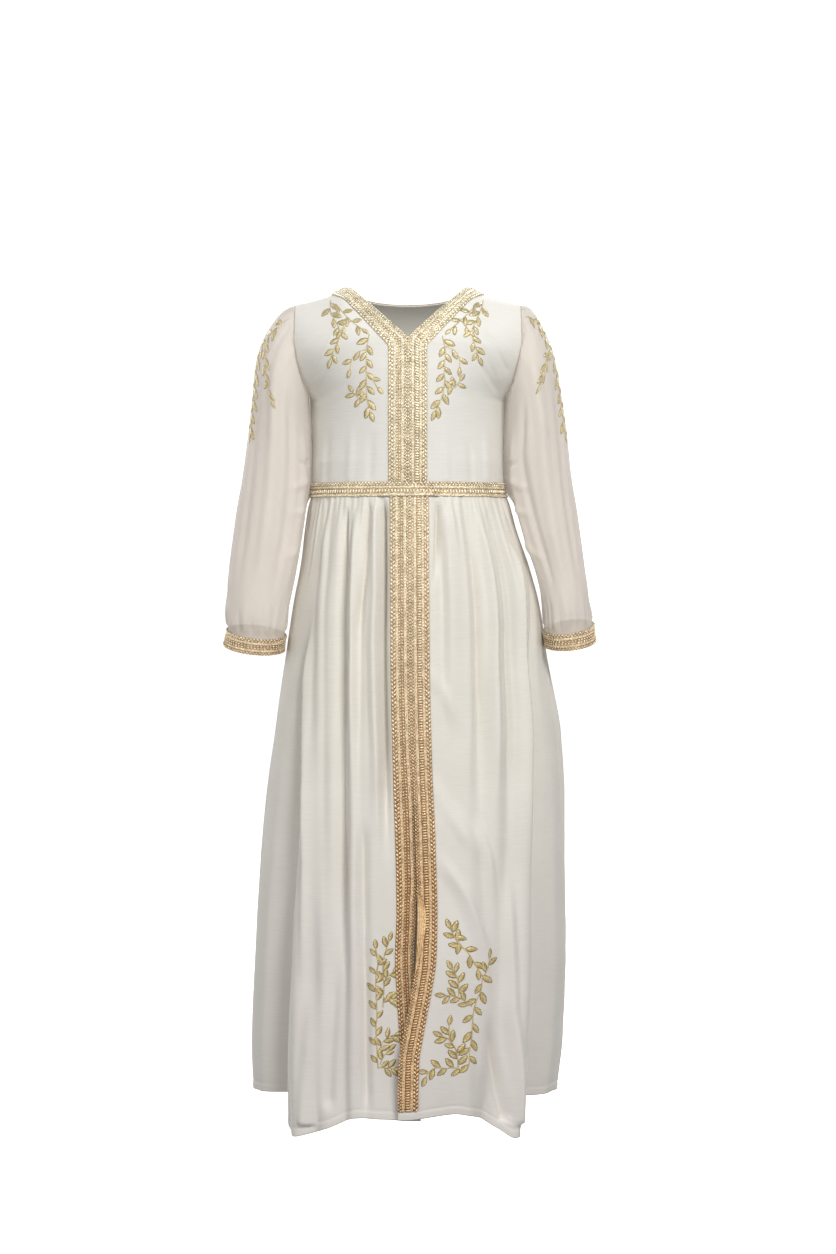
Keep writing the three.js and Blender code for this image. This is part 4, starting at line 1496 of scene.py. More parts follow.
@dataclass
class Panel:
    """One cloth panel: a grid laid on a form, with wall thickness.

    Args:
        name: Name of the piece.
        columns: Facets across.
        rows: Facets down.
        wall: Thickness in millimetres.
        closed: Whether the grid closes on itself across.
    """

    name: str
    columns: int
    rows: int
    wall: float = 0.8
    closed: bool = False

    def build(self, place: Callable[..., Array], inside: Triple) -> Mesh:
        """Lay the grid on its form.

        Args:
            place: Gives points in millimetres for shares across and down.
            inside: A point in millimetres that the panel faces away from.

        Returns:
            The mesh, with a UV map in metres.
        """
        sheet = bmesh.new()
        bmesh.ops.create_grid(sheet, x_segments=self.columns, y_segments=self.rows, size=0.5)
        shares = np.array([vert.co[:] for vert in sheet.verts]) + 0.5
        points = place(shares[:, 0], shares[:, 1])
        order = np.lexsort((shares[:, 0].round(6), shares[:, 1].round(6)))
        grid = points[order].reshape(self.rows + 1, self.columns + 1, 3)
        across = np.zeros(grid.shape[:2])
        across[:, 1:] = np.linalg.norm(np.diff(grid, axis=1), axis=-1).cumsum(axis=1)
        across -= across[:, self.columns // 2 : self.columns // 2 + 1]
        down = np.zeros(grid.shape[:2])
        down[1:] = np.linalg.norm(np.diff(grid, axis=0), axis=-1).cumsum(axis=0)
        flat = np.zeros((len(points), 2))
        flat[order, 0] = across.ravel() * MM
        flat[order, 1] = down.ravel() * MM
        layer = sheet.loops.layers.uv.new("cloth")
        for vert, point in zip(sheet.verts, points * MM):
            vert.co = point
        sheet.verts.index_update()
        for face in sheet.faces:
            for loop in face.loops:
                loop[layer].uv = flat[loop.vert.index]
        if self.closed:
            bmesh.ops.remove_doubles(sheet, verts=sheet.verts, dist=1e-6)
        bmesh.ops.recalc_face_normals(sheet, faces=sheet.faces)
        sheet.faces.ensure_lookup_table()
        middle = sheet.faces[len(sheet.faces) // 2]
        if middle.normal.dot(middle.calc_center_median() - Vector(inside) * MM) < 0:
            bmesh.ops.reverse_faces(sheet, faces=sheet.faces)
        return as_mesh(sheet, self.name)

    def finish(self, mesh: Mesh, material: bpy.types.Material) -> Piece:
        """Dress the mesh and give it its wall.

        Args:
            mesh: Mesh of the panel.
            material: Its cloth.

        Returns:
            The piece.
        """
        piece = dress(mesh, self.name, material)
        shell = piece.modifiers.new("wall", "SOLIDIFY")
        shell.thickness = self.wall * MM
        shell.offset = 0.0
        shell.use_rim = True
        return piece


@dataclass
class Bodice:
    """Two fronts and a back, with soft folds.

    Args:
        form: Worn shape.
        finishes: Materials.
        panels: The pieces, once built.
    """

    INSIDE = (0, 0, -100)

    form: BodiceForm
    finishes: Finishes
    panels: dict[str, Piece] = field(default_factory=dict)

    def build(self) -> None:
        """Build the three panels."""
        for side in Side:
            self.front(side)
        panel = Panel("cloth_bodice_back", 130, 78)

        def place(s: Array, t: Array) -> Array:
            """Points of the back panel."""
            return self.form.back(s * 2 - 1, split_share(t, 0.16))

        piece = panel.finish(panel.build(place, self.INSIDE), self.finishes.bodice)
        self.panels["back"] = settle(piece, "bodice", "bodice_back")

    def front(self, side: Side) -> None:
        """Build one front panel.

        Args:
            side: Side of the garment.
        """
        panel = Panel(f"cloth_bodice_front_{side.word}", 80, 110)

        def place(s: Array, t: Array) -> Array:
            """Points of the front panel."""
            return self.form.front(side, split_share(s, 0.18), t * 2)

        piece = panel.finish(panel.build(place, self.INSIDE), self.finishes.bodice)
        self.panels[side.word] = settle(piece, "bodice", f"bodice_front_{side.word}")


@dataclass
class Skirt:
    """Two fronts that lap over each other and a back, with long folds.

    Args:
        form: Worn shape.
        finishes: Materials.
        panels: The pieces, once built.
    """

    INSIDE = (0, 0, -600)

    form: SkirtForm
    finishes: Finishes
    panels: dict[str, Piece] = field(default_factory=dict)

    def down(self, t: Array) -> Array:
        """Rows, closer together at the hem."""
        return np.where(t < 0.94, t / 0.94 * 0.98, 0.98 + (t - 0.94) / 0.06 * 0.02)

    def build(self) -> None:
        """Build the three panels."""
        for side in Side:
            self.front(side)
        panel = Panel("cloth_skirt_back", 180, 135)

        def place(s: Array, t: Array) -> Array:
            """Points of the back panel."""
            return self.form.back(s * 2 - 1, self.down(t))

        piece = panel.finish(panel.build(place, self.INSIDE), self.finishes.skirt)
        self.panels["back"] = settle(piece, "skirt", "skirt_back")

    def front(self, side: Side) -> None:
        """Build one front panel.

        Args:
            side: Side of the skirt.
        """
        panel = Panel(f"cloth_skirt_front_{side.word}", 135, 145)

        def place(s: Array, t: Array) -> Array:
            """Points of the front panel."""
            return self.form.front(side, split_share(s, 0.1), self.down(t))

        piece = panel.finish(panel.build(place, self.INSIDE), self.finishes.skirt)
        self.panels[side.word] = settle(piece, "skirt", f"skirt_front_{side.word}")


@dataclass
class Sleeve:
    """One sheer sleeve.

    Args:
        form: Worn shape.
        finishes: Materials.
        piece: The sleeve, once built.
    """

    form: SleeveForm
    finishes: Finishes
    piece: Piece | None = None

    def build(self) -> None:
        """Build the sleeve."""
        side = self.form.side
        panel = Panel(f"cloth_sleeve_{side.word}", 106, 120, 0.6, True)

        def place(s: Array, t: Array) -> Array:
            """Points of the sleeve."""
            return self.form.point(s, RUN_SLEEVE.at("row", t * SLEEVE_LENGTH))

        mesh = panel.build(place, (side.value * 150, -10, -200))
        self.orient(mesh)
        piece = panel.finish(mesh, self.finishes.sleeve)
        self.piece = settle(piece, "sleeve", f"sleeve_{side.word}")

    def orient(self, mesh: Mesh) -> None:
        """Turn the faces outwards, by the side of the sleeve that faces forwards.

        Args:
            mesh: Mesh of the sleeve.
        """
        foremost = min(mesh.polygons, key=lambda face: face.center.y)
        if foremost.normal.y > 0:
            mesh.flip_normals()


@dataclass(frozen=True)
class BraidLayout:
    """What a braid is made of, across its width in millimetres.

    Args:
        width: Whole width.
        ropes: Centre, half width and pitch of each two-column plait.
        ribs: Centre, half width and height of each smooth rib.
        bands: Stitches, centre, half width and pitch of each seed or ladder band.
    """

    width: float
    ropes: tuple[Triple, ...]
    ribs: tuple[Triple, ...]
    bands: tuple[tuple[Row, float, float, float], ...]


FRONT_ROPES = ((1.9, 1.9, 3.5), (18.2, 2.7, 4.4))
FRONT_RIBS = ((5.5, 1.6, 0.9), (14.2, 1.4, 0.85))
EDGE_BRAIDS = {
    Side.RIGHT: BraidLayout(21.0, FRONT_ROPES, FRONT_RIBS, ((Row.SEED, 10.2, 2.9, 3.3),)),
    Side.LEFT: BraidLayout(21.0, FRONT_ROPES, FRONT_RIBS, ((Row.LADDER, 10.2, 3.0, 2.9),)),
}
CUFF_BRAID = BraidLayout(
    18.6,
    ((2.1, 2.1, 3.8), (16.7, 1.8, 3.4)),
    ((5.7, 1.3, 1.05), (13.2, 1.1, 1.0)),
    ((Row.SEED, 9.6, 2.3, 3.6),),
)
BELT_BRAID = BraidLayout(
    16.4,
    ((14.3, 2.0, 3.8),),
    ((10.6, 1.4, 1.1), (1.5, 1.4, 1.0)),
    ((Row.LADDER, 6.0, 2.6, 3.4),),
)


@dataclass
class Lane:
    """The strip of a form that a braid lies on, ready to bend a flat braid round.

    Args:
        place: Gives points in millimetres for shares across and along.
        width: Width across in millimetres.
        centre: Gives a point inside the form for each point on it.
        lift: Distance of the braid's underside from the form, for shares along.
        closed: Whether it runs round and meets itself.
        samples: Steps along.
    """

    # Steps across the lane.
    ACROSS = 6

    place: Callable[..., Array]
    width: float
    centre: Callable[..., Array]
    lift: Callable[..., Array | float] = lambda share: CLOTH_TO_BRAID
    closed: bool = False
    samples: int = 900

    def __post_init__(self) -> None:
        """Measure the lane."""
        self.shares = np.linspace(0, 1, self.samples)
        along, across = np.meshgrid(self.shares, np.linspace(0, 1, self.ACROSS + 1), indexing="ij")
        self.points = self.place(across.ravel(), along.ravel()).reshape(*along.shape, 3)
        steps = np.gradient(self.points, axis=0), np.gradient(self.points, axis=1)
        self.normals = outward(*steps, self.points - self.centre(self.points))
        if self.closed:
            self.normals[0] = self.normals[-1] = (self.normals[1] + self.normals[-2]) / 2
        lengths = np.linalg.norm(np.diff(self.points[:, self.ACROSS // 2], axis=0), axis=-1)
        self.run = np.concatenate([[0], lengths.cumsum()])
        self.length = float(self.run[-1])

    def bend(self, flat: Array) -> Array:
        """Bend flat braid points onto the lane.

        Args:
            flat: Millimetres across, along and up, one point a row.

        Returns:
            Points in millimetres.
        """
        along = flat[:, 1] % self.length if self.closed else flat[:, 1]
        row = np.interp(along, self.run, np.arange(self.samples))
        i = np.clip(row.astype(int), 0, self.samples - 2)
        column = np.clip(flat[:, 0] / self.width, 0, 1) * self.ACROSS
        j = np.clip(column.astype(int), 0, self.ACROSS - 1)
        ti = (row - i)[:, None]
        tj = (column - j)[:, None]

        def blended(grid: Array) -> Array:
            """Values of a grid between its four neighbours."""
            near = mix(grid[i, j], grid[i, j + 1], tj)
            far = mix(grid[i + 1, j], grid[i + 1, j + 1], tj)
            return mix(near, far, ti)

        share = np.interp(along, self.run, self.shares)
        up = (self.lift(share) + flat[:, 2])[:, None]
        return blended(self.points) + unit(blended(self.normals)) * up


@dataclass
class Braid:
    """A gold braid of plaits, ribs and a seed or ladder band, sewn on along a lane.

    Args:
        name: Name of the braid.
        layout: What it is made of.
        lane: Where it lies.
        finishes: Materials.
        seed: Seed of its small unevenness.
        pieces: Its pieces, once built.
    """

    # Millimetres, and shares of a rib's half width.
    CHAIN_PITCH = 3.0
    TAPE_STEP = 4.5
    TAPE_HEIGHT = 0.5
    GROOVE_HEIGHT = 0.3
    GROOVE_END = 1.2
    RIB_STOPS = (-1.15, -1, -0.6, 0, 0.6, 1, 1.15)

    name: str
    layout: BraidLayout
    lane: Lane
    finishes: Finishes
    seed: int = 1
    pieces: list[Piece] = field(default_factory=list)

    def build(self, node: str) -> None:
        """Build the tape and all rows of stitches.

        Args:
            node: Node that the tape stands for.
        """
        # The tape's dark finish paints shade into the gaps between the stitches.
        tape = self.wrapped(self.tape(), "tape", self.finishes.tape, self.finishes.rib)
        self.pieces.append(settle(tape, "braid", node))
        plaits = [(Row.PLAIT, *rope) for rope in self.layout.ropes]
        chains = [(Row.CHAIN, centre, half, self.CHAIN_PITCH) for centre, half, _ in self.layout.ribs]
        rows = (
            ("plait", self.finishes.rope, plaits),
            ("chain", self.finishes.rib, chains),
            ("band", self.finishes.seed, self.layout.bands),
        )
        for part, thread, kinds in rows:
            mesh = self.row_mesh([self.repeat(*kind) for kind in kinds])
            self.pieces.append(settle(self.wrapped(mesh, part, thread), "braid"))

    def tape(self) -> Mesh:
        """Tape under the stitches, with its ribs as ridges.

        Returns:
            Flat mesh in millimetres, with ribs in the second material slot.
        """
        rows = max(20, int(self.lane.length / self.TAPE_STEP))
        stops = {0.0, self.layout.width}
        for centre, half, _ in self.layout.ribs:
            stops |= {centre + half * share for share in self.RIB_STOPS}
        for centre, half, *_ in self.layout.ropes:
            stops |= {centre - half * 0.9, centre, centre + half * 0.9}
        stops = sorted(min(max(stop, 0), self.layout.width) for stop in stops)
        sheet = bmesh.new()
        bmesh.ops.create_grid(sheet, x_segments=len(stops) - 1, y_segments=rows, size=0.5)
        for vert in sheet.verts:
            column = round((vert.co.x + 0.5) * (len(stops) - 1))
            across = stops[column]
            vert.co = (across, (vert.co.y + 0.5) * self.lane.length, self.ridge(across))
        for face in sheet.faces:
            across = face.calc_center_median().x
            face.material_index = int(any(abs(across - c) < h for c, h, _ in self.layout.ribs))
        raised = bmesh.ops.extrude_face_region(sheet, geom=list(sheet.faces))["geom"]
        for element in raised:
            if isinstance(element, bmesh.types.BMVert):
                element.co.z = 0.0
        if self.lane.closed:
            ends = [f for f in sheet.faces if abs(f.normal.y) > 0.9]
            bmesh.ops.delete(sheet, geom=ends, context="FACES_ONLY")
        bmesh.ops.recalc_face_normals(sheet, faces=sheet.faces)
        return as_mesh(sheet, self.name + "_tape")

    def ridge(self, across: float) -> float:
        """Height of the tape's upper face, with a groove on both sides of each rib.

        Args:
            across: Place across the tape.

        Returns:
            The height.
        """
        height = self.TAPE_HEIGHT
        for centre, half, top in self.layout.ribs:
            share = abs(across - centre) / half
            if share < 1:
                height = max(height, mix(self.TAPE_HEIGHT, top, math.sqrt(1 - share**2)))
            elif share < self.GROOVE_END:
                height = min(height, self.GROOVE_HEIGHT)
        return height

    def repeat(self, row: Row, centre: float, half: float, pitch: float) -> tuple[Work, float]:
        """One repeat of a row of stitches.

        Args:
            row: Which row.
            centre: Middle of the row across the braid.
            half: Half its width.
            pitch: Length of one repeat.

        Returns:
            Its mesh in flat millimetres, and the pitch.
        """
        bead = row.value
        stitch = bmesh.new()
        for column in (-1, 1) if bead.aside else (0,):
            place = (centre + column * half * bead.aside, pitch * (0.5 + bead.stagger * column), bead.up)
            halves = (half * bead.wide, pitch * bead.long, bead.high)
            shape = bead_shape(place, column * bead.turn, halves)
            if bead.coarse:
                bmesh.ops.create_icosphere(stitch, subdivisions=1, radius=1, matrix=shape)
            else:
                bmesh.ops.create_uvsphere(stitch, u_segments=8, v_segments=5, radius=1, matrix=shape)
        return stitch, pitch

    def row_mesh(self, repeats: list[tuple[Work, float]]) -> Mesh:
        """Repeat each unit along the braid and join the rows.

        Args:
            repeats: Units and their pitches.

        Returns:
            One flat mesh in millimetres.
        """
        joined = bmesh.new()
        for stitch, pitch in repeats:
            start = as_mesh(stitch, "unit")
            count = max(1, round(self.lane.length / pitch))
            carrier = bpy.data.objects.new("unit", start)
            bpy.context.scene.collection.objects.link(carrier)
            rows = carrier.modifiers.new("rows", "ARRAY")
            rows.use_relative_offset = False
            rows.use_constant_offset = True
            rows.constant_offset_displace = (0, self.lane.length / count, 0)
            rows.count = count
            shown = carrier.evaluated_get(bpy.context.evaluated_depsgraph_get())
            repeated = bpy.data.meshes.new_from_object(shown)
            joined.from_mesh(repeated)
            bpy.data.objects.remove(carrier)
            bpy.data.meshes.remove(start)
            bpy.data.meshes.remove(repeated)
        return as_mesh(joined, self.name + "_row")

    def wrapped(self, mesh: Mesh, part: str, *materials: bpy.types.Material) -> Piece:
        """Bend a flat mesh onto the lane and dress it.

        Args:
            mesh: Flat mesh in millimetres.
            part: Last word of the piece's name.
            *materials: Materials in slot order.

        Returns:
            The piece.
        """
        flat = points_of(mesh)
        wave = np.random.default_rng(self.seed).normal(0, 1, 64)
        place = np.interp(flat[:, 1] / max(self.lane.length, 1), np.linspace(0, 1, 64), wave)
        flat[:, 2] *= 1 + 0.04 * place
        layer = mesh.uv_layers.new(name="cloth")
        corners = np.empty(len(mesh.loops), dtype=np.int32)
        mesh.loops.foreach_get("vertex_index", corners)
        layer.data.foreach_set("uv", (flat[corners][:, :2] * MM).ravel())
        lay(mesh, self.lane.bend(flat), 2e-6)
        return dress(mesh, f"{self.name}_{part}", *materials)


@dataclass(frozen=True)
class Sprig:
    """One embroidered stem with leaves by turns on both sides.

    Args:
        path: Points of the stem in flat millimetres.
        leaves: Number of leaves along it.
        length: Length of a leaf.
        first: Side of the first leaf, 1 or -1.
        tip: Whether a leaf ends the stem.
        spread: Angle between a leaf and the stem, in degrees.
    """

    path: Line
    leaves: int
    length: float = 11.5
    first: int = 1
    tip: bool = True
    spread: float = 42.0

    def line(self) -> Array:
        """Smooth the stem.

        Returns:
            Points about a millimetre apart.
        """
        points = np.array(self.path, float)
        ends = np.vstack([2 * points[0] - points[1], points, 2 * points[-1] - points[-2]])
        pieces = []
        for i in range(1, len(ends) - 2):
            steps = max(3, int(np.linalg.norm(ends[i + 1] - ends[i])))
            t = np.linspace(0, 1, steps, endpoint=False)[:, None]
            pieces.append(through(*ends[i - 1 : i + 3], t))
        return np.vstack([*pieces, points[-1:]])


@dataclass
class Embroidery:
    """Sprigs in satin stitch on one panel.

    Args:
        name: Name of the piece.
        sprigs: Its sprigs.
        place: Gives points in millimetres for flat places.
        centre: Gives a point inside the form for each point on it.
        finishes: Materials.
        seed: Seed of its small unevenness.
    """

    # Millimetres; a stitch is half its length, half its width and its height.
    CLOTH_TO_STITCH = 0.45
    STEM_STEP = 1.9
    STEM_STITCH = (1.7, 0.85, 0.5)
    BIG_LUMP = 2

    name: str
    sprigs: tuple[Sprig, ...]
    place: Callable[..., Array]
    centre: Callable[..., Array]
    finishes: Finishes
    seed: int = 3

    def build(self) -> Piece:
        """Build every leaf and stem and lay them on the panel.

        Returns:
            The piece.
        """
        self.rng = random.Random(self.seed)
        self.work = bmesh.new()
        self.layer = self.work.loops.layers.uv.new("cloth")
        for sprig in self.sprigs:
            self.sprig(sprig)
        mesh = as_mesh(self.work, self.name)
        x, y, up = points_of(mesh).T
        step = 0.4
        point = self.place(x, y)
        across = self.place(x + step, y) - self.place(x - step, y)
        along = self.place(x, y + step) - self.place(x, y - step)
        normal = outward(across, along, point - self.centre(point))
        lay(mesh, point + normal * (up + self.CLOTH_TO_STITCH)[:, None])
        piece = dress(mesh, self.name, self.finishes.leaf, self.finishes.outline, self.finishes.leaf_shade)
        return settle(piece, "embroidery")

    def sprig(self, sprig: Sprig) -> None:
        """Add one sprig in flat millimetres.

        Args:
            sprig: The sprig.
        """
        line = sprig.line()
        steps = np.linalg.norm(np.diff(line, axis=0), axis=1)
        run = np.concatenate([[0], steps.cumsum()])
        for place in np.arange(0.8, run[-1], self.STEM_STEP):
            spot, heading = self.spot(line, run, place)
            self.lump(spot, heading, self.STEM_STITCH, 0)
        side = sprig.first
        count = round(sprig.leaves * 1.2)
        for i in range(count):
            share = (i + 0.6) / (count + 0.5)
            spot, heading = self.spot(line, run, run[-1] * share)
            turn = heading + side * math.radians(sprig.spread + self.rng.uniform(-12, 12))
            self.leaf(spot, turn, sprig.length * self.rng.uniform(0.95, 1.22))
            side = -side
        if sprig.tip:
            spot, heading = self.spot(line, run, run[-1] - 1.0)
            self.leaf(spot, heading + self.rng.uniform(-0.15, 0.15), sprig.length)

    def spot(self, line: Array, run: Array, place: float) -> tuple[Array, float]:
        """Place on a stem.

        Args:
            line: Points of the stem.
            run: Distance of each point along it.
            place: Distance of the wanted place.

        Returns:
            Its point and its heading.
        """
        i = int(np.clip(np.searchsorted(run, place), 1, len(run) - 1))
        share = (place - run[i - 1]) / max(run[i] - run[i - 1], 1e-6)
        step = line[i] - line[i - 1]
        return mix(line[i - 1], line[i], share), math.atan2(step[1], step[0])

    def leaf(self, base: Array, turn: float, length: float) -> None:
        """Add one leaf: a satin lens on a wider darker outline.

        Args:
            base: Foot of the leaf.
            turn: Its heading.
            length: Its length.
        """
        reach = length * 0.5 + 0.6
        middle = base + reach * np.array([math.cos(turn), math.sin(turn)])
        self.lump(middle, turn, (length * 0.53, length * 0.265, 0.35), 1)
        self.lump(middle, turn, (length * 0.47, length * 0.21, 0.95), 0)

    def lump(self, middle: Array, turn: float, halves: Triple, finish: int) -> None:
        """Add one pointed lens of thread, with a vein and a shaded half where it is a leaf.

        Args:
            middle: Its middle.
            turn: Its heading.
            halves: Half its length, half its width and the height of its crown.
            finish: Material slot.
        """
        leaf = halves[0] > self.BIG_LUMP
        made = bmesh.ops.create_icosphere(self.work, subdivisions=1 + leaf, radius=1)["verts"]
        for vert in made:
            vert.co.y *= 1 - 0.5 * vert.co.x**2
            if leaf:
                vert.co.z *= 1 - 0.45 * math.exp(-((vert.co.y / 0.22) ** 2))
        for face in {face for vert in made for face in vert.link_faces}:
            shaded = finish == 0 and leaf and face.calc_center_median().y < -0.1
            face.material_index = 2 if shaded else finish
            for loop in face.loops:
                place = loop.vert.co
                slant = abs(place.y) * halves[1]
                loop[self.layer].uv = ((place.x * halves[0] + slant) * MM, place.y * halves[1] * MM)
        shape = bead_shape((middle[0], middle[1], 0), turn, halves)
        bmesh.ops.transform(self.work, matrix=shape, verts=made)


NECK_SPRIGS = {
    Side.RIGHT: (
        Sprig(((-86, -16), (-85, -32), (-78, -44), (-74, -58), (-80, -72), (-85, -84)), 9, 10.5),
        Sprig(((-60, -42), (-68, -46), (-74, -54)), 2, 9.0, -1),
        Sprig(((-79, -22), (-70, -34), (-60, -44), (-50, -52)), 4, 9.0, -1, True, 50),
        Sprig(((-42, -58), (-45, -74), (-45, -92), (-45, -112), (-44, -130), (-41, -143)), 9, 11.5, -1),
        Sprig(((-45, -74), (-54, -77), (-61, -85), (-63, -96)), 2, 10.0),
        Sprig(((-46, -100), (-38, -108), (-33, -116)), 1, 10.0),
        Sprig(((-46, -128), (-54, -126), (-60, -120)), 3, 9.5, -1, True, 62),
    ),
    Side.LEFT: (
        Sprig(((84, -16), (80, -30), (74, -44), (70, -56), (74, -70), (78, -82)), 9, 10.5, -1),
        Sprig(((56, -40), (62, -46), (68, -54)), 2, 9.0),
        Sprig(((76, -22), (67, -33), (57, -43), (47, -52)), 4, 9.0, 1, True, 50),
        Sprig(((38, -60), (41, -76), (40, -94), (40, -112), (36, -130), (30, -142)), 9, 11.5),
        Sprig(((42, -71), (50, -75), (56, -83), (57, -94)), 2, 10.0, -1),
        Sprig(((41, -110), (50, -116), (54, -112), (57, -108)), 3, 9.5, 1, True, 62),
    ),
}
HEM_STEM = (
    *((46, -708), (51, -715), (57, -724), (64, -732), (71, -745), (78, -756), (78, -770)),
    *((72, -784), (69, -796), (68, -808), (67, -822), (64, -838), (63, -852), (59, -858)),
)
INNER_STEM = (
    *((-32, -856), (-33, -835), (-34, -815), (-33, -795)),
    *((-34, -775), (-34, -757), (-32, -742), (-34, -726)),
)
HEM_SPRIGS = {
    Side.LEFT: (
        Sprig(HEM_STEM, 15, 12.5, 1, False),
        Sprig(((57, -726), (50, -715), (44.5, -704)), 3, 12.0, 1),
        Sprig(((80, -758), (84, -750), (86, -738)), 2, 11.0),
        Sprig(((59, -858), (48, -855), (40, -855), (30, -854), (22, -858), (19, -864)), 5, 11.5),
        Sprig(((53, -856), (52, -843), (49, -832), (42, -823), (36, -820)), 5, 11.5, -1),
        Sprig(((44, -826), (43, -815), (43, -808)), 1, 11.0),
        Sprig(((67, -789), (56, -780), (48, -777), (39, -776)), 4, 11.5),
        Sprig(((53, -778), (53, -765), (51, -756), (46, -748)), 4, 11.5, -1),
    ),
    Side.RIGHT: (
        Sprig(INNER_STEM, 11, 10.5),
        Sprig(((-27, -790), (-26, -770), (-27, -750), (-25, -732), (-20, -718)), 7, 10.5, -1),
        Sprig(((-26, -762), (-21, -756), (-16, -752)), 2, 10.0),
        Sprig(((-26, -780), (-19, -781), (-13, -783)), 3, 10.0),
        Sprig(((-31, -840), (-27, -828), (-20, -822), (-14, -820)), 4, 10.5, -1),
        Sprig(((-31, -855), (-22, -856), (-15, -857)), 3, 10.5),
        Sprig(((-30, -852), (-26, -843), (-20, -836)), 2, 10.0),
    ),
}
RIGHT_SLEEVE_STEM = ((28, 14), (26, 28), (21, 44), (18, 62), (18, 84), (17, 106), (17, 128), (18, 150))
LEFT_SLEEVE_STEM = ((26, 12), (22, 28), (19, 46), (18, 66), (17, 86), (17, 108), (18, 130), (17, 150))
SLEEVE_SPRIGS = {
    Side.RIGHT: (
        Sprig(RIGHT_SLEEVE_STEM, 15, 11.5),
        Sprig(((21, 44), (31, 56), (38, 68), (46, 80), (53, 88)), 6, 11.0, -1),
    ),
    Side.LEFT: (
        Sprig(LEFT_SLEEVE_STEM, 15, 11.5, -1),
        Sprig(((19, 60), (30, 62), (42, 68), (52, 74)), 5, 11.0),
    ),
}


class Hold(Enum):
    """How a panel is held."""

    HUNG = "hung"
    GATHERED = "gathered"


@dataclass(frozen=True)
class Cut:
    """Flat piece of cloth that a panel was cut to.

    Args:
        width: Width across the cloth in metres; not used.
        length: Length along it; not used.
        area: Area of the shaped piece in square metres; not used.
        held: How it is held on a wearer; not used.
        hangs_from: Names of what it hangs from; not used.
    """

    width: float
    length: float
    area: float
    held: Hold
    hangs_from: tuple[str, ...]

    def declare(self, piece: Piece, *on_it: Piece) -> None:
        """Take the panel and the pieces sewn on it; nothing is done with them.

        Args:
            piece: The panel; not used.
            *on_it: Pieces that are sewn on it; not used.
        """


CUTS = {
    "bodice_front_right": Cut(0.145, 0.24, 0.030, Hold.HUNG, ("cloth_bodice_back",)),
    "bodice_front_left": Cut(0.145, 0.24, 0.030, Hold.HUNG, ("cloth_bodice_back",)),
    "bodice_back": Cut(0.28, 0.24, 0.060, Hold.HUNG, ("cloth_bodice_front_right", "cloth_bodice_front_left")),
    "skirt_front_right": Cut(0.28, 0.70, 0.175, Hold.GATHERED, ("cloth_bodice_front_right",)),
    "skirt_front_left": Cut(0.28, 0.70, 0.175, Hold.GATHERED, ("cloth_bodice_front_left",)),
    "skirt_back": Cut(0.50, 0.70, 0.330, Hold.GATHERED, ("cloth_bodice_back",)),
    "sleeve_right": Cut(0.31, 0.41, 0.100, Hold.GATHERED, ("cloth_bodice_front_right", "cloth_bodice_back")),
    "sleeve_left": Cut(0.31, 0.41, 0.100, Hold.GATHERED, ("cloth_bodice_front_left", "cloth_bodice_back")),
}


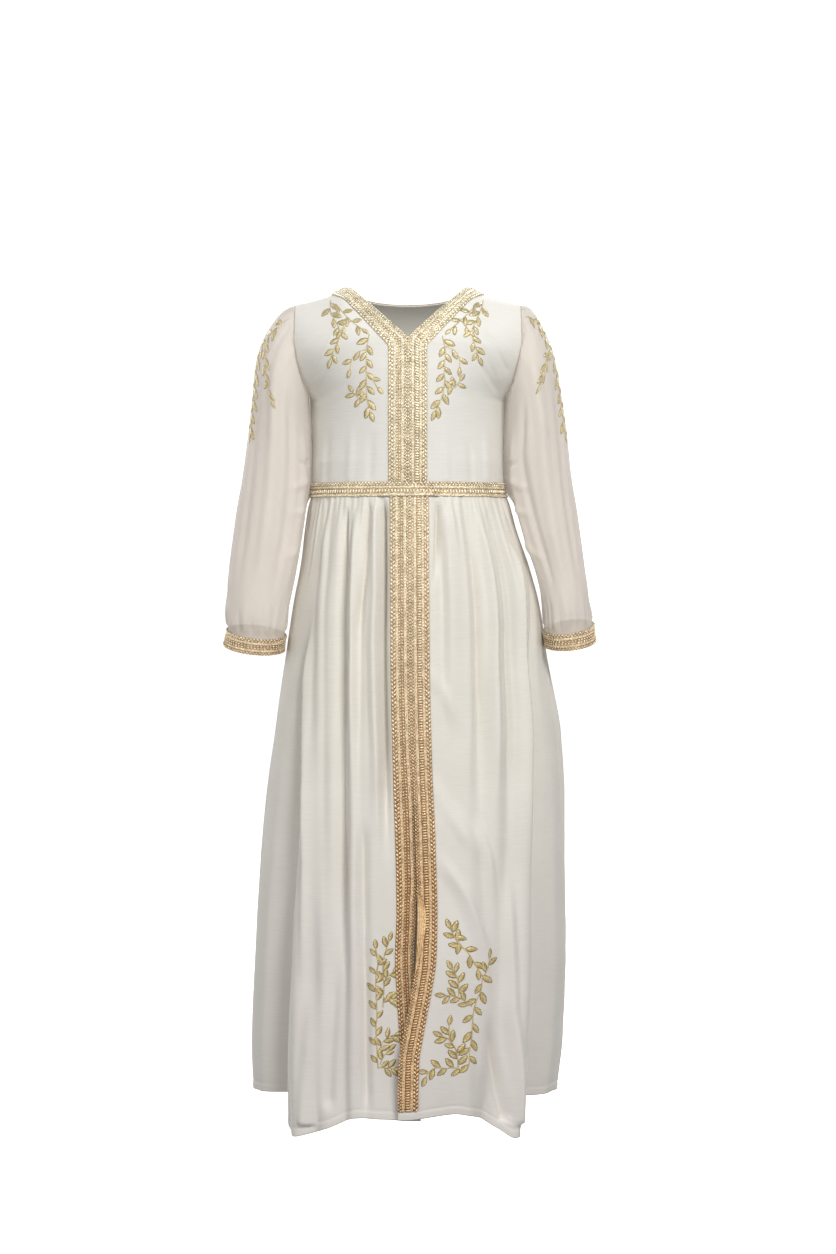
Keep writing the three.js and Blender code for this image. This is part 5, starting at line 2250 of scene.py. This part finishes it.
@dataclass
class Studio:
    """Pale seamless floor, soft light and the camera.

    Args:
        floor: Level of the floor in metres.
        distance: Distance of the camera in front.
        height: Level of the camera.
        aside: Place of the camera across.
        lens: Focal length in millimetres.
        tilt: Tilt down in degrees.
    """

    LIGHTS = {
        "key": ((0.95, -2.25, 1.3), 1.0, 62),
        "fill": ((-1.8, -2.4, 0.3), 1.6, 22),
        "top": ((0.1, 0.1, 2.4), 1.6, 8),
        "back": ((0.9, 2.4, 1.0), 1.6, 50),
        "back_fill": ((-1.8, 1.8, 0.4), 1.6, 26),
    }
    AIM = Vector((0, 0, -0.45))
    # Metres.
    COVE_RADIUS = 7.0
    COVE_BEND = 2.0

    floor: float = -1.02
    distance: float = 3.0
    height: float = -0.305
    aside: float = 0.0113
    lens: float = 76.2
    tilt: float = 1.446

    def build(self) -> None:
        """Build the floor, the lights and the camera."""
        self.camera()
        self.cove()
        for name, settings in self.LIGHTS.items():
            self.light(name, *settings)
        world = bpy.data.worlds.new("studio")
        world.use_nodes = True
        background = world.node_tree.nodes["Background"]
        background.inputs["Color"].default_value = (1.0, 0.995, 0.985, 1)
        background.inputs["Strength"].default_value = 0.26
        bpy.context.scene.world = world
        view = bpy.context.scene.view_settings
        view.view_transform = "Standard"
        view.look = "None"
        view.exposure = 0.0

    def camera(self) -> None:
        """Place the camera at the front, level with the hips."""
        data = bpy.data.cameras.new("front_view")
        data.lens = self.lens
        data.sensor_width = 36
        data.dof.use_dof = False
        camera = bpy.data.objects.new("front_view", data)
        camera.location = (self.aside, -self.distance, self.height)
        camera.rotation_euler = (math.radians(90 - self.tilt), 0, 0)
        bpy.context.scene.collection.objects.link(camera)
        bpy.context.scene.camera = camera

    def cove(self) -> None:
        """Build the seamless floor, which turns up into a wall all round."""
        sheet = bmesh.new()
        bmesh.ops.create_circle(sheet, cap_ends=True, radius=self.COVE_RADIUS, segments=96)
        bmesh.ops.translate(sheet, verts=sheet.verts, vec=(0, 0, self.floor))
        rim = [edge for edge in sheet.edges if edge.is_boundary]
        raised = bmesh.ops.extrude_edge_only(sheet, edges=rim)["geom"]
        top = [element for element in raised if isinstance(element, bmesh.types.BMVert)]
        bmesh.ops.translate(sheet, verts=top, vec=(0, 0, self.COVE_RADIUS))
        turn = {"affect": "EDGES", "segments": 12, "profile": 0.5, "material": -1}
        bmesh.ops.bevel(sheet, geom=rim, offset=self.COVE_BEND, **turn)
        bmesh.ops.recalc_face_normals(sheet, faces=sheet.faces)
        sheet.faces.ensure_lookup_table()
        if max(sheet.faces, key=lambda face: face.calc_area()).normal.z < 0:
            bmesh.ops.reverse_faces(sheet, faces=sheet.faces)
        shader = Shader("cove_paper")
        grain = shader.noise(shader.object_point(), 60.0, 2.0)
        tones = [(0.0, (0.93, 0.93, 0.93, 1)), (1.0, (0.96, 0.96, 0.96, 1))]
        shader.link(shader.ramp(grain, tones), "Base Color")
        shader.set(Emission_Color=WHITE, Emission_Strength=0.9, Roughness=0.9, Specular_IOR_Level=0.1)
        cove = dress(as_mesh(sheet, "cove"), "cove", shader.material)
        cove.visible_diffuse = False
        cove.visible_shadow = False

    def light(self, name: str, place: Triple, size: float, power: float) -> None:
        """Add a soft square light that faces the garment.

        Args:
            name: Name of the light.
            place: Its place in metres.
            size: Side of the square.
            power: Power in watts.
        """
        data = bpy.data.lights.new(name, "AREA")
        data.size = size
        data.energy = power
        lamp = bpy.data.objects.new(name, data)
        lamp.location = place
        lamp.visible_camera = False
        lamp.rotation_euler = (self.AIM - Vector(place)).to_track_quat("-Z", "Y").to_euler()
        bpy.context.scene.collection.objects.link(lamp)


@dataclass
class Abaya:
    """The whole garment.

    Args:
        finishes: Materials.
        bodice_form: Shape of the bodice.
        skirt_form: Shape of the skirt.
        sleeve_forms: Shape of each sleeve.
        braids: Braids by node, once built.
        sprays: Embroidery by panel, once built.
    """

    finishes: Finishes
    bodice_form: BodiceForm = field(default_factory=lambda: BodiceForm(creases=bodice_folds()))
    skirt_form: SkirtForm = field(
        default_factory=lambda: SkirtForm(creases={side: skirt_folds(side) for side in Side})
    )
    sleeve_forms: dict[Side, SleeveForm] = field(
        default_factory=lambda: {side: SleeveForm(side, sleeve_folds(side)) for side in Side}
    )
    braids: dict[str, Braid] = field(default_factory=dict)
    sprays: dict[str, Piece] = field(default_factory=dict)

    def __post_init__(self) -> None:
        """Set out the panels on their forms."""
        self.bodice = Bodice(self.bodice_form, self.finishes)
        self.skirt = Skirt(self.skirt_form, self.finishes)
        self.sleeves = {side: Sleeve(form, self.finishes) for side, form in self.sleeve_forms.items()}

    def build(self) -> None:
        """Build every piece in order."""
        for part in (self.bodice, self.skirt, *self.sleeves.values()):
            part.build()
        self.edge_braids()
        self.turned_edge()
        self.cuff_braids()
        self.belt_braid()
        self.embroider()
        self.declare()

    def declare(self) -> None:
        """Hand each cloth panel, with what is sewn on it, to its cut, whose declare does nothing with them.
        """
        for side in Side:
            word = side.word
            neck = self.braids[f"braid_neck_{word}"].pieces
            edge = self.braids[f"braid_skirt_{word}"].pieces
            cuff = self.braids[f"braid_cuff_{word}"].pieces
            front = self.bodice.panels[word]
            skirt = self.skirt.panels[word]
            CUTS[f"bodice_front_{word}"].declare(front, *neck, self.sprays[f"neck_{word}"])
            CUTS[f"skirt_front_{word}"].declare(skirt, *edge, self.sprays[f"hem_{word}"])
            CUTS[f"sleeve_{word}"].declare(self.sleeves[side].piece, *cuff, self.sprays[f"sleeve_{word}"])
        CUTS["bodice_back"].declare(self.bodice.panels["back"], *self.braids["belt"].pieces)
        CUTS["skirt_back"].declare(self.skirt.panels["back"])

    def edge_braids(self) -> None:
        """Build the braids of the neck and the front edges."""
        for side in Side:
            layout = EDGE_BRAIDS[side]
            neck = Lane(partial(self.on_bodice, side), layout.width, axis_below(60))
            self.add_braid(f"braid_neck_{side.word}", layout, neck)
            edge = Lane(partial(self.on_skirt, side), layout.width, axis_below(0))
            self.add_braid(f"braid_skirt_{side.word}", layout, edge)

    def on_bodice(self, side: Side, a: Array, t: Array) -> Array:
        """Points under a neck braid, by shares across and along it."""
        return self.bodice_form.braid_line(side, a, t * 3)

    def on_skirt(self, side: Side, a: Array, t: Array) -> Array:
        """Points under a skirt braid; the right one reaches in under the left one.

        Args:
            side: Side of the skirt.
            a: Share across the braid.
            t: Share down the braid.

        Returns:
            Points, one a row.
        """
        down = mix(0.0016, 0.985, t)
        reach = (0.05 + 0.09 * rise(0.4, 0.5, down)) * (1 - rise(0.62, 0.665, down))
        start = -reach if side is Side.RIGHT else 0.0 * reach
        return self.skirt_form.front(side, mix(start, 1.0, a), down)

    def turned_edge(self) -> None:
        """Turn a short stretch of the left skirt braid's inner edge over, so that its pale back shows."""
        braid = self.braids["braid_skirt_left"]
        lane = braid.lane
        panel = Panel("gold_braid_skirt_left_turn", 32, 40, 0.5)

        def place(s: Array, t: Array) -> Array:
            """Points of the turned stretch, widest near its top and ribbed down its length.

            Args:
                s: Share across it.
                t: Share down it.

            Returns:
                Points, one a row.
            """
            width = 8.5 * np.sin(math.pi * t**0.6)
            along = lane.length * mix(0.65, 0.775, t)
            up = 1.7 + 1.4 * np.sin(math.pi * s) * np.sin(math.pi * t) + 0.45 * np.cos(s * 6 * math.pi)
            return lane.bend(np.stack([0.4 + s * width, along, up], axis=-1))

        piece = panel.finish(panel.build(place, self.skirt.INSIDE), self.finishes.turned)
        braid.pieces.append(settle(piece, "braid"))

    def cuff_braids(self) -> None:
        """Build the braids of the cuffs."""
        for side, form in self.sleeve_forms.items():
            lane = Lane(
                partial(self.on_cuff, form),
                CUFF_BRAID.width,
                partial(self.in_cuff, form),
                closed=True,
            )
            self.add_braid(f"braid_cuff_{side.word}", CUFF_BRAID, lane)

    def on_cuff(self, form: SleeveForm, a: Array, t: Array) -> Array:
        """Points under a cuff braid, by shares across and round it."""
        return form.point(t, mix(form.LAST - 2.0, form.LAST * 1.0, a))

    def in_cuff(self, form: SleeveForm, points: Array) -> Array:
        """Middle of the cuff, for each point on it."""
        row = np.full(2, form.LAST - 1.0)
        return np.broadcast_to(form.bare(np.array([0.0, 0.5]), row).mean(axis=0), points.shape)

    def embroider(self) -> None:
        """Embroider the bodice, the skirt hem and the sleeves."""
        for side in Side:
            form = self.sleeve_forms[side]
            skirt = partial(self.skirt_form.seen, side)
            grounds = (
                ("neck", NECK_SPRIGS[side], self.bodice_form.seen, axis_below(40), 5),
                ("hem", HEM_SPRIGS[side], skirt, axis_below(0), 7),
                ("sleeve", SLEEVE_SPRIGS[side], form.seen, form.inside, 9),
            )
            for part, sprigs, ground, centre, seed in grounds:
                name = f"{part}_{side.word}"
                spray = Embroidery(f"embroidery_{name}", sprigs, ground, centre, self.finishes, seed)
                self.sprays[name] = spray.build()

    def belt_braid(self) -> None:
        """Build the belt."""
        lane = Lane(self.on_waist, BELT_BRAID.width, axis_below(0), self.belt_lift, True)
        self.add_braid("belt", BELT_BRAID, lane)

    def on_waist(self, a: Array, t: Array) -> Array:
        """Points under the belt, half on the bodice and half on the skirt.

        Args:
            a: Share across the belt, from its lower edge.
            t: Share round it, from the centre back.

        Returns:
            Points, one a row.
        """
        turn = -t * 2 * math.pi
        z = WAIST + BELT_BRAID.width * (a - 0.5)
        y = np.cos(turn)
        half = BODICE_SECTIONS.at("half", z)
        depth = np.where(y < 0, BODICE_SECTIONS.at("front", z), BODICE_SECTIONS.at("back", z))
        above = np.stack([half * np.sin(turn), depth * y, z], axis=-1)
        angle = np.degrees(np.arccos(np.clip(-y, -1, 1)))
        right, left = (self.skirt_form.point(side, angle, z, 0.0) for side in Side)
        below = np.where((np.sin(turn) < 0)[..., None], right, left)
        return np.where((z >= WAIST)[..., None], above, below)

    def belt_lift(self, share: Array) -> Array:
        """Height of the belt over the cloth and, at the front, over the braids.

        Args:
            share: Share round the belt, from the centre back.

        Returns:
            Heights.
        """
        turn = share * 2 * math.pi
        over = np.where(np.cos(turn) < 0, 1 - rise(26, 35, np.abs(108 * np.sin(turn))), 0)
        return 1.2 + over * 2.1

    def add_braid(self, node: str, layout: BraidLayout, lane: Lane) -> None:
        """Build one braid on its lane.

        Args:
            node: Node that it stands for.
            layout: What it is made of.
            lane: Where it lies.
        """
        braid = Braid(f"gold_{node}", layout, lane, self.finishes, len(self.braids) + 1)
        braid.build(node)
        self.braids[node] = braid
        LOG.info("%s: %.0f mm long", node, lane.length)


def main() -> None:
    """Build the garment and its studio."""
    logging.basicConfig(level=logging.INFO, format="%(name)s %(message)s")
    Studio().build()
    abaya = Abaya(Finishes())
    abaya.build()


if __name__ == "__main__":
    main()
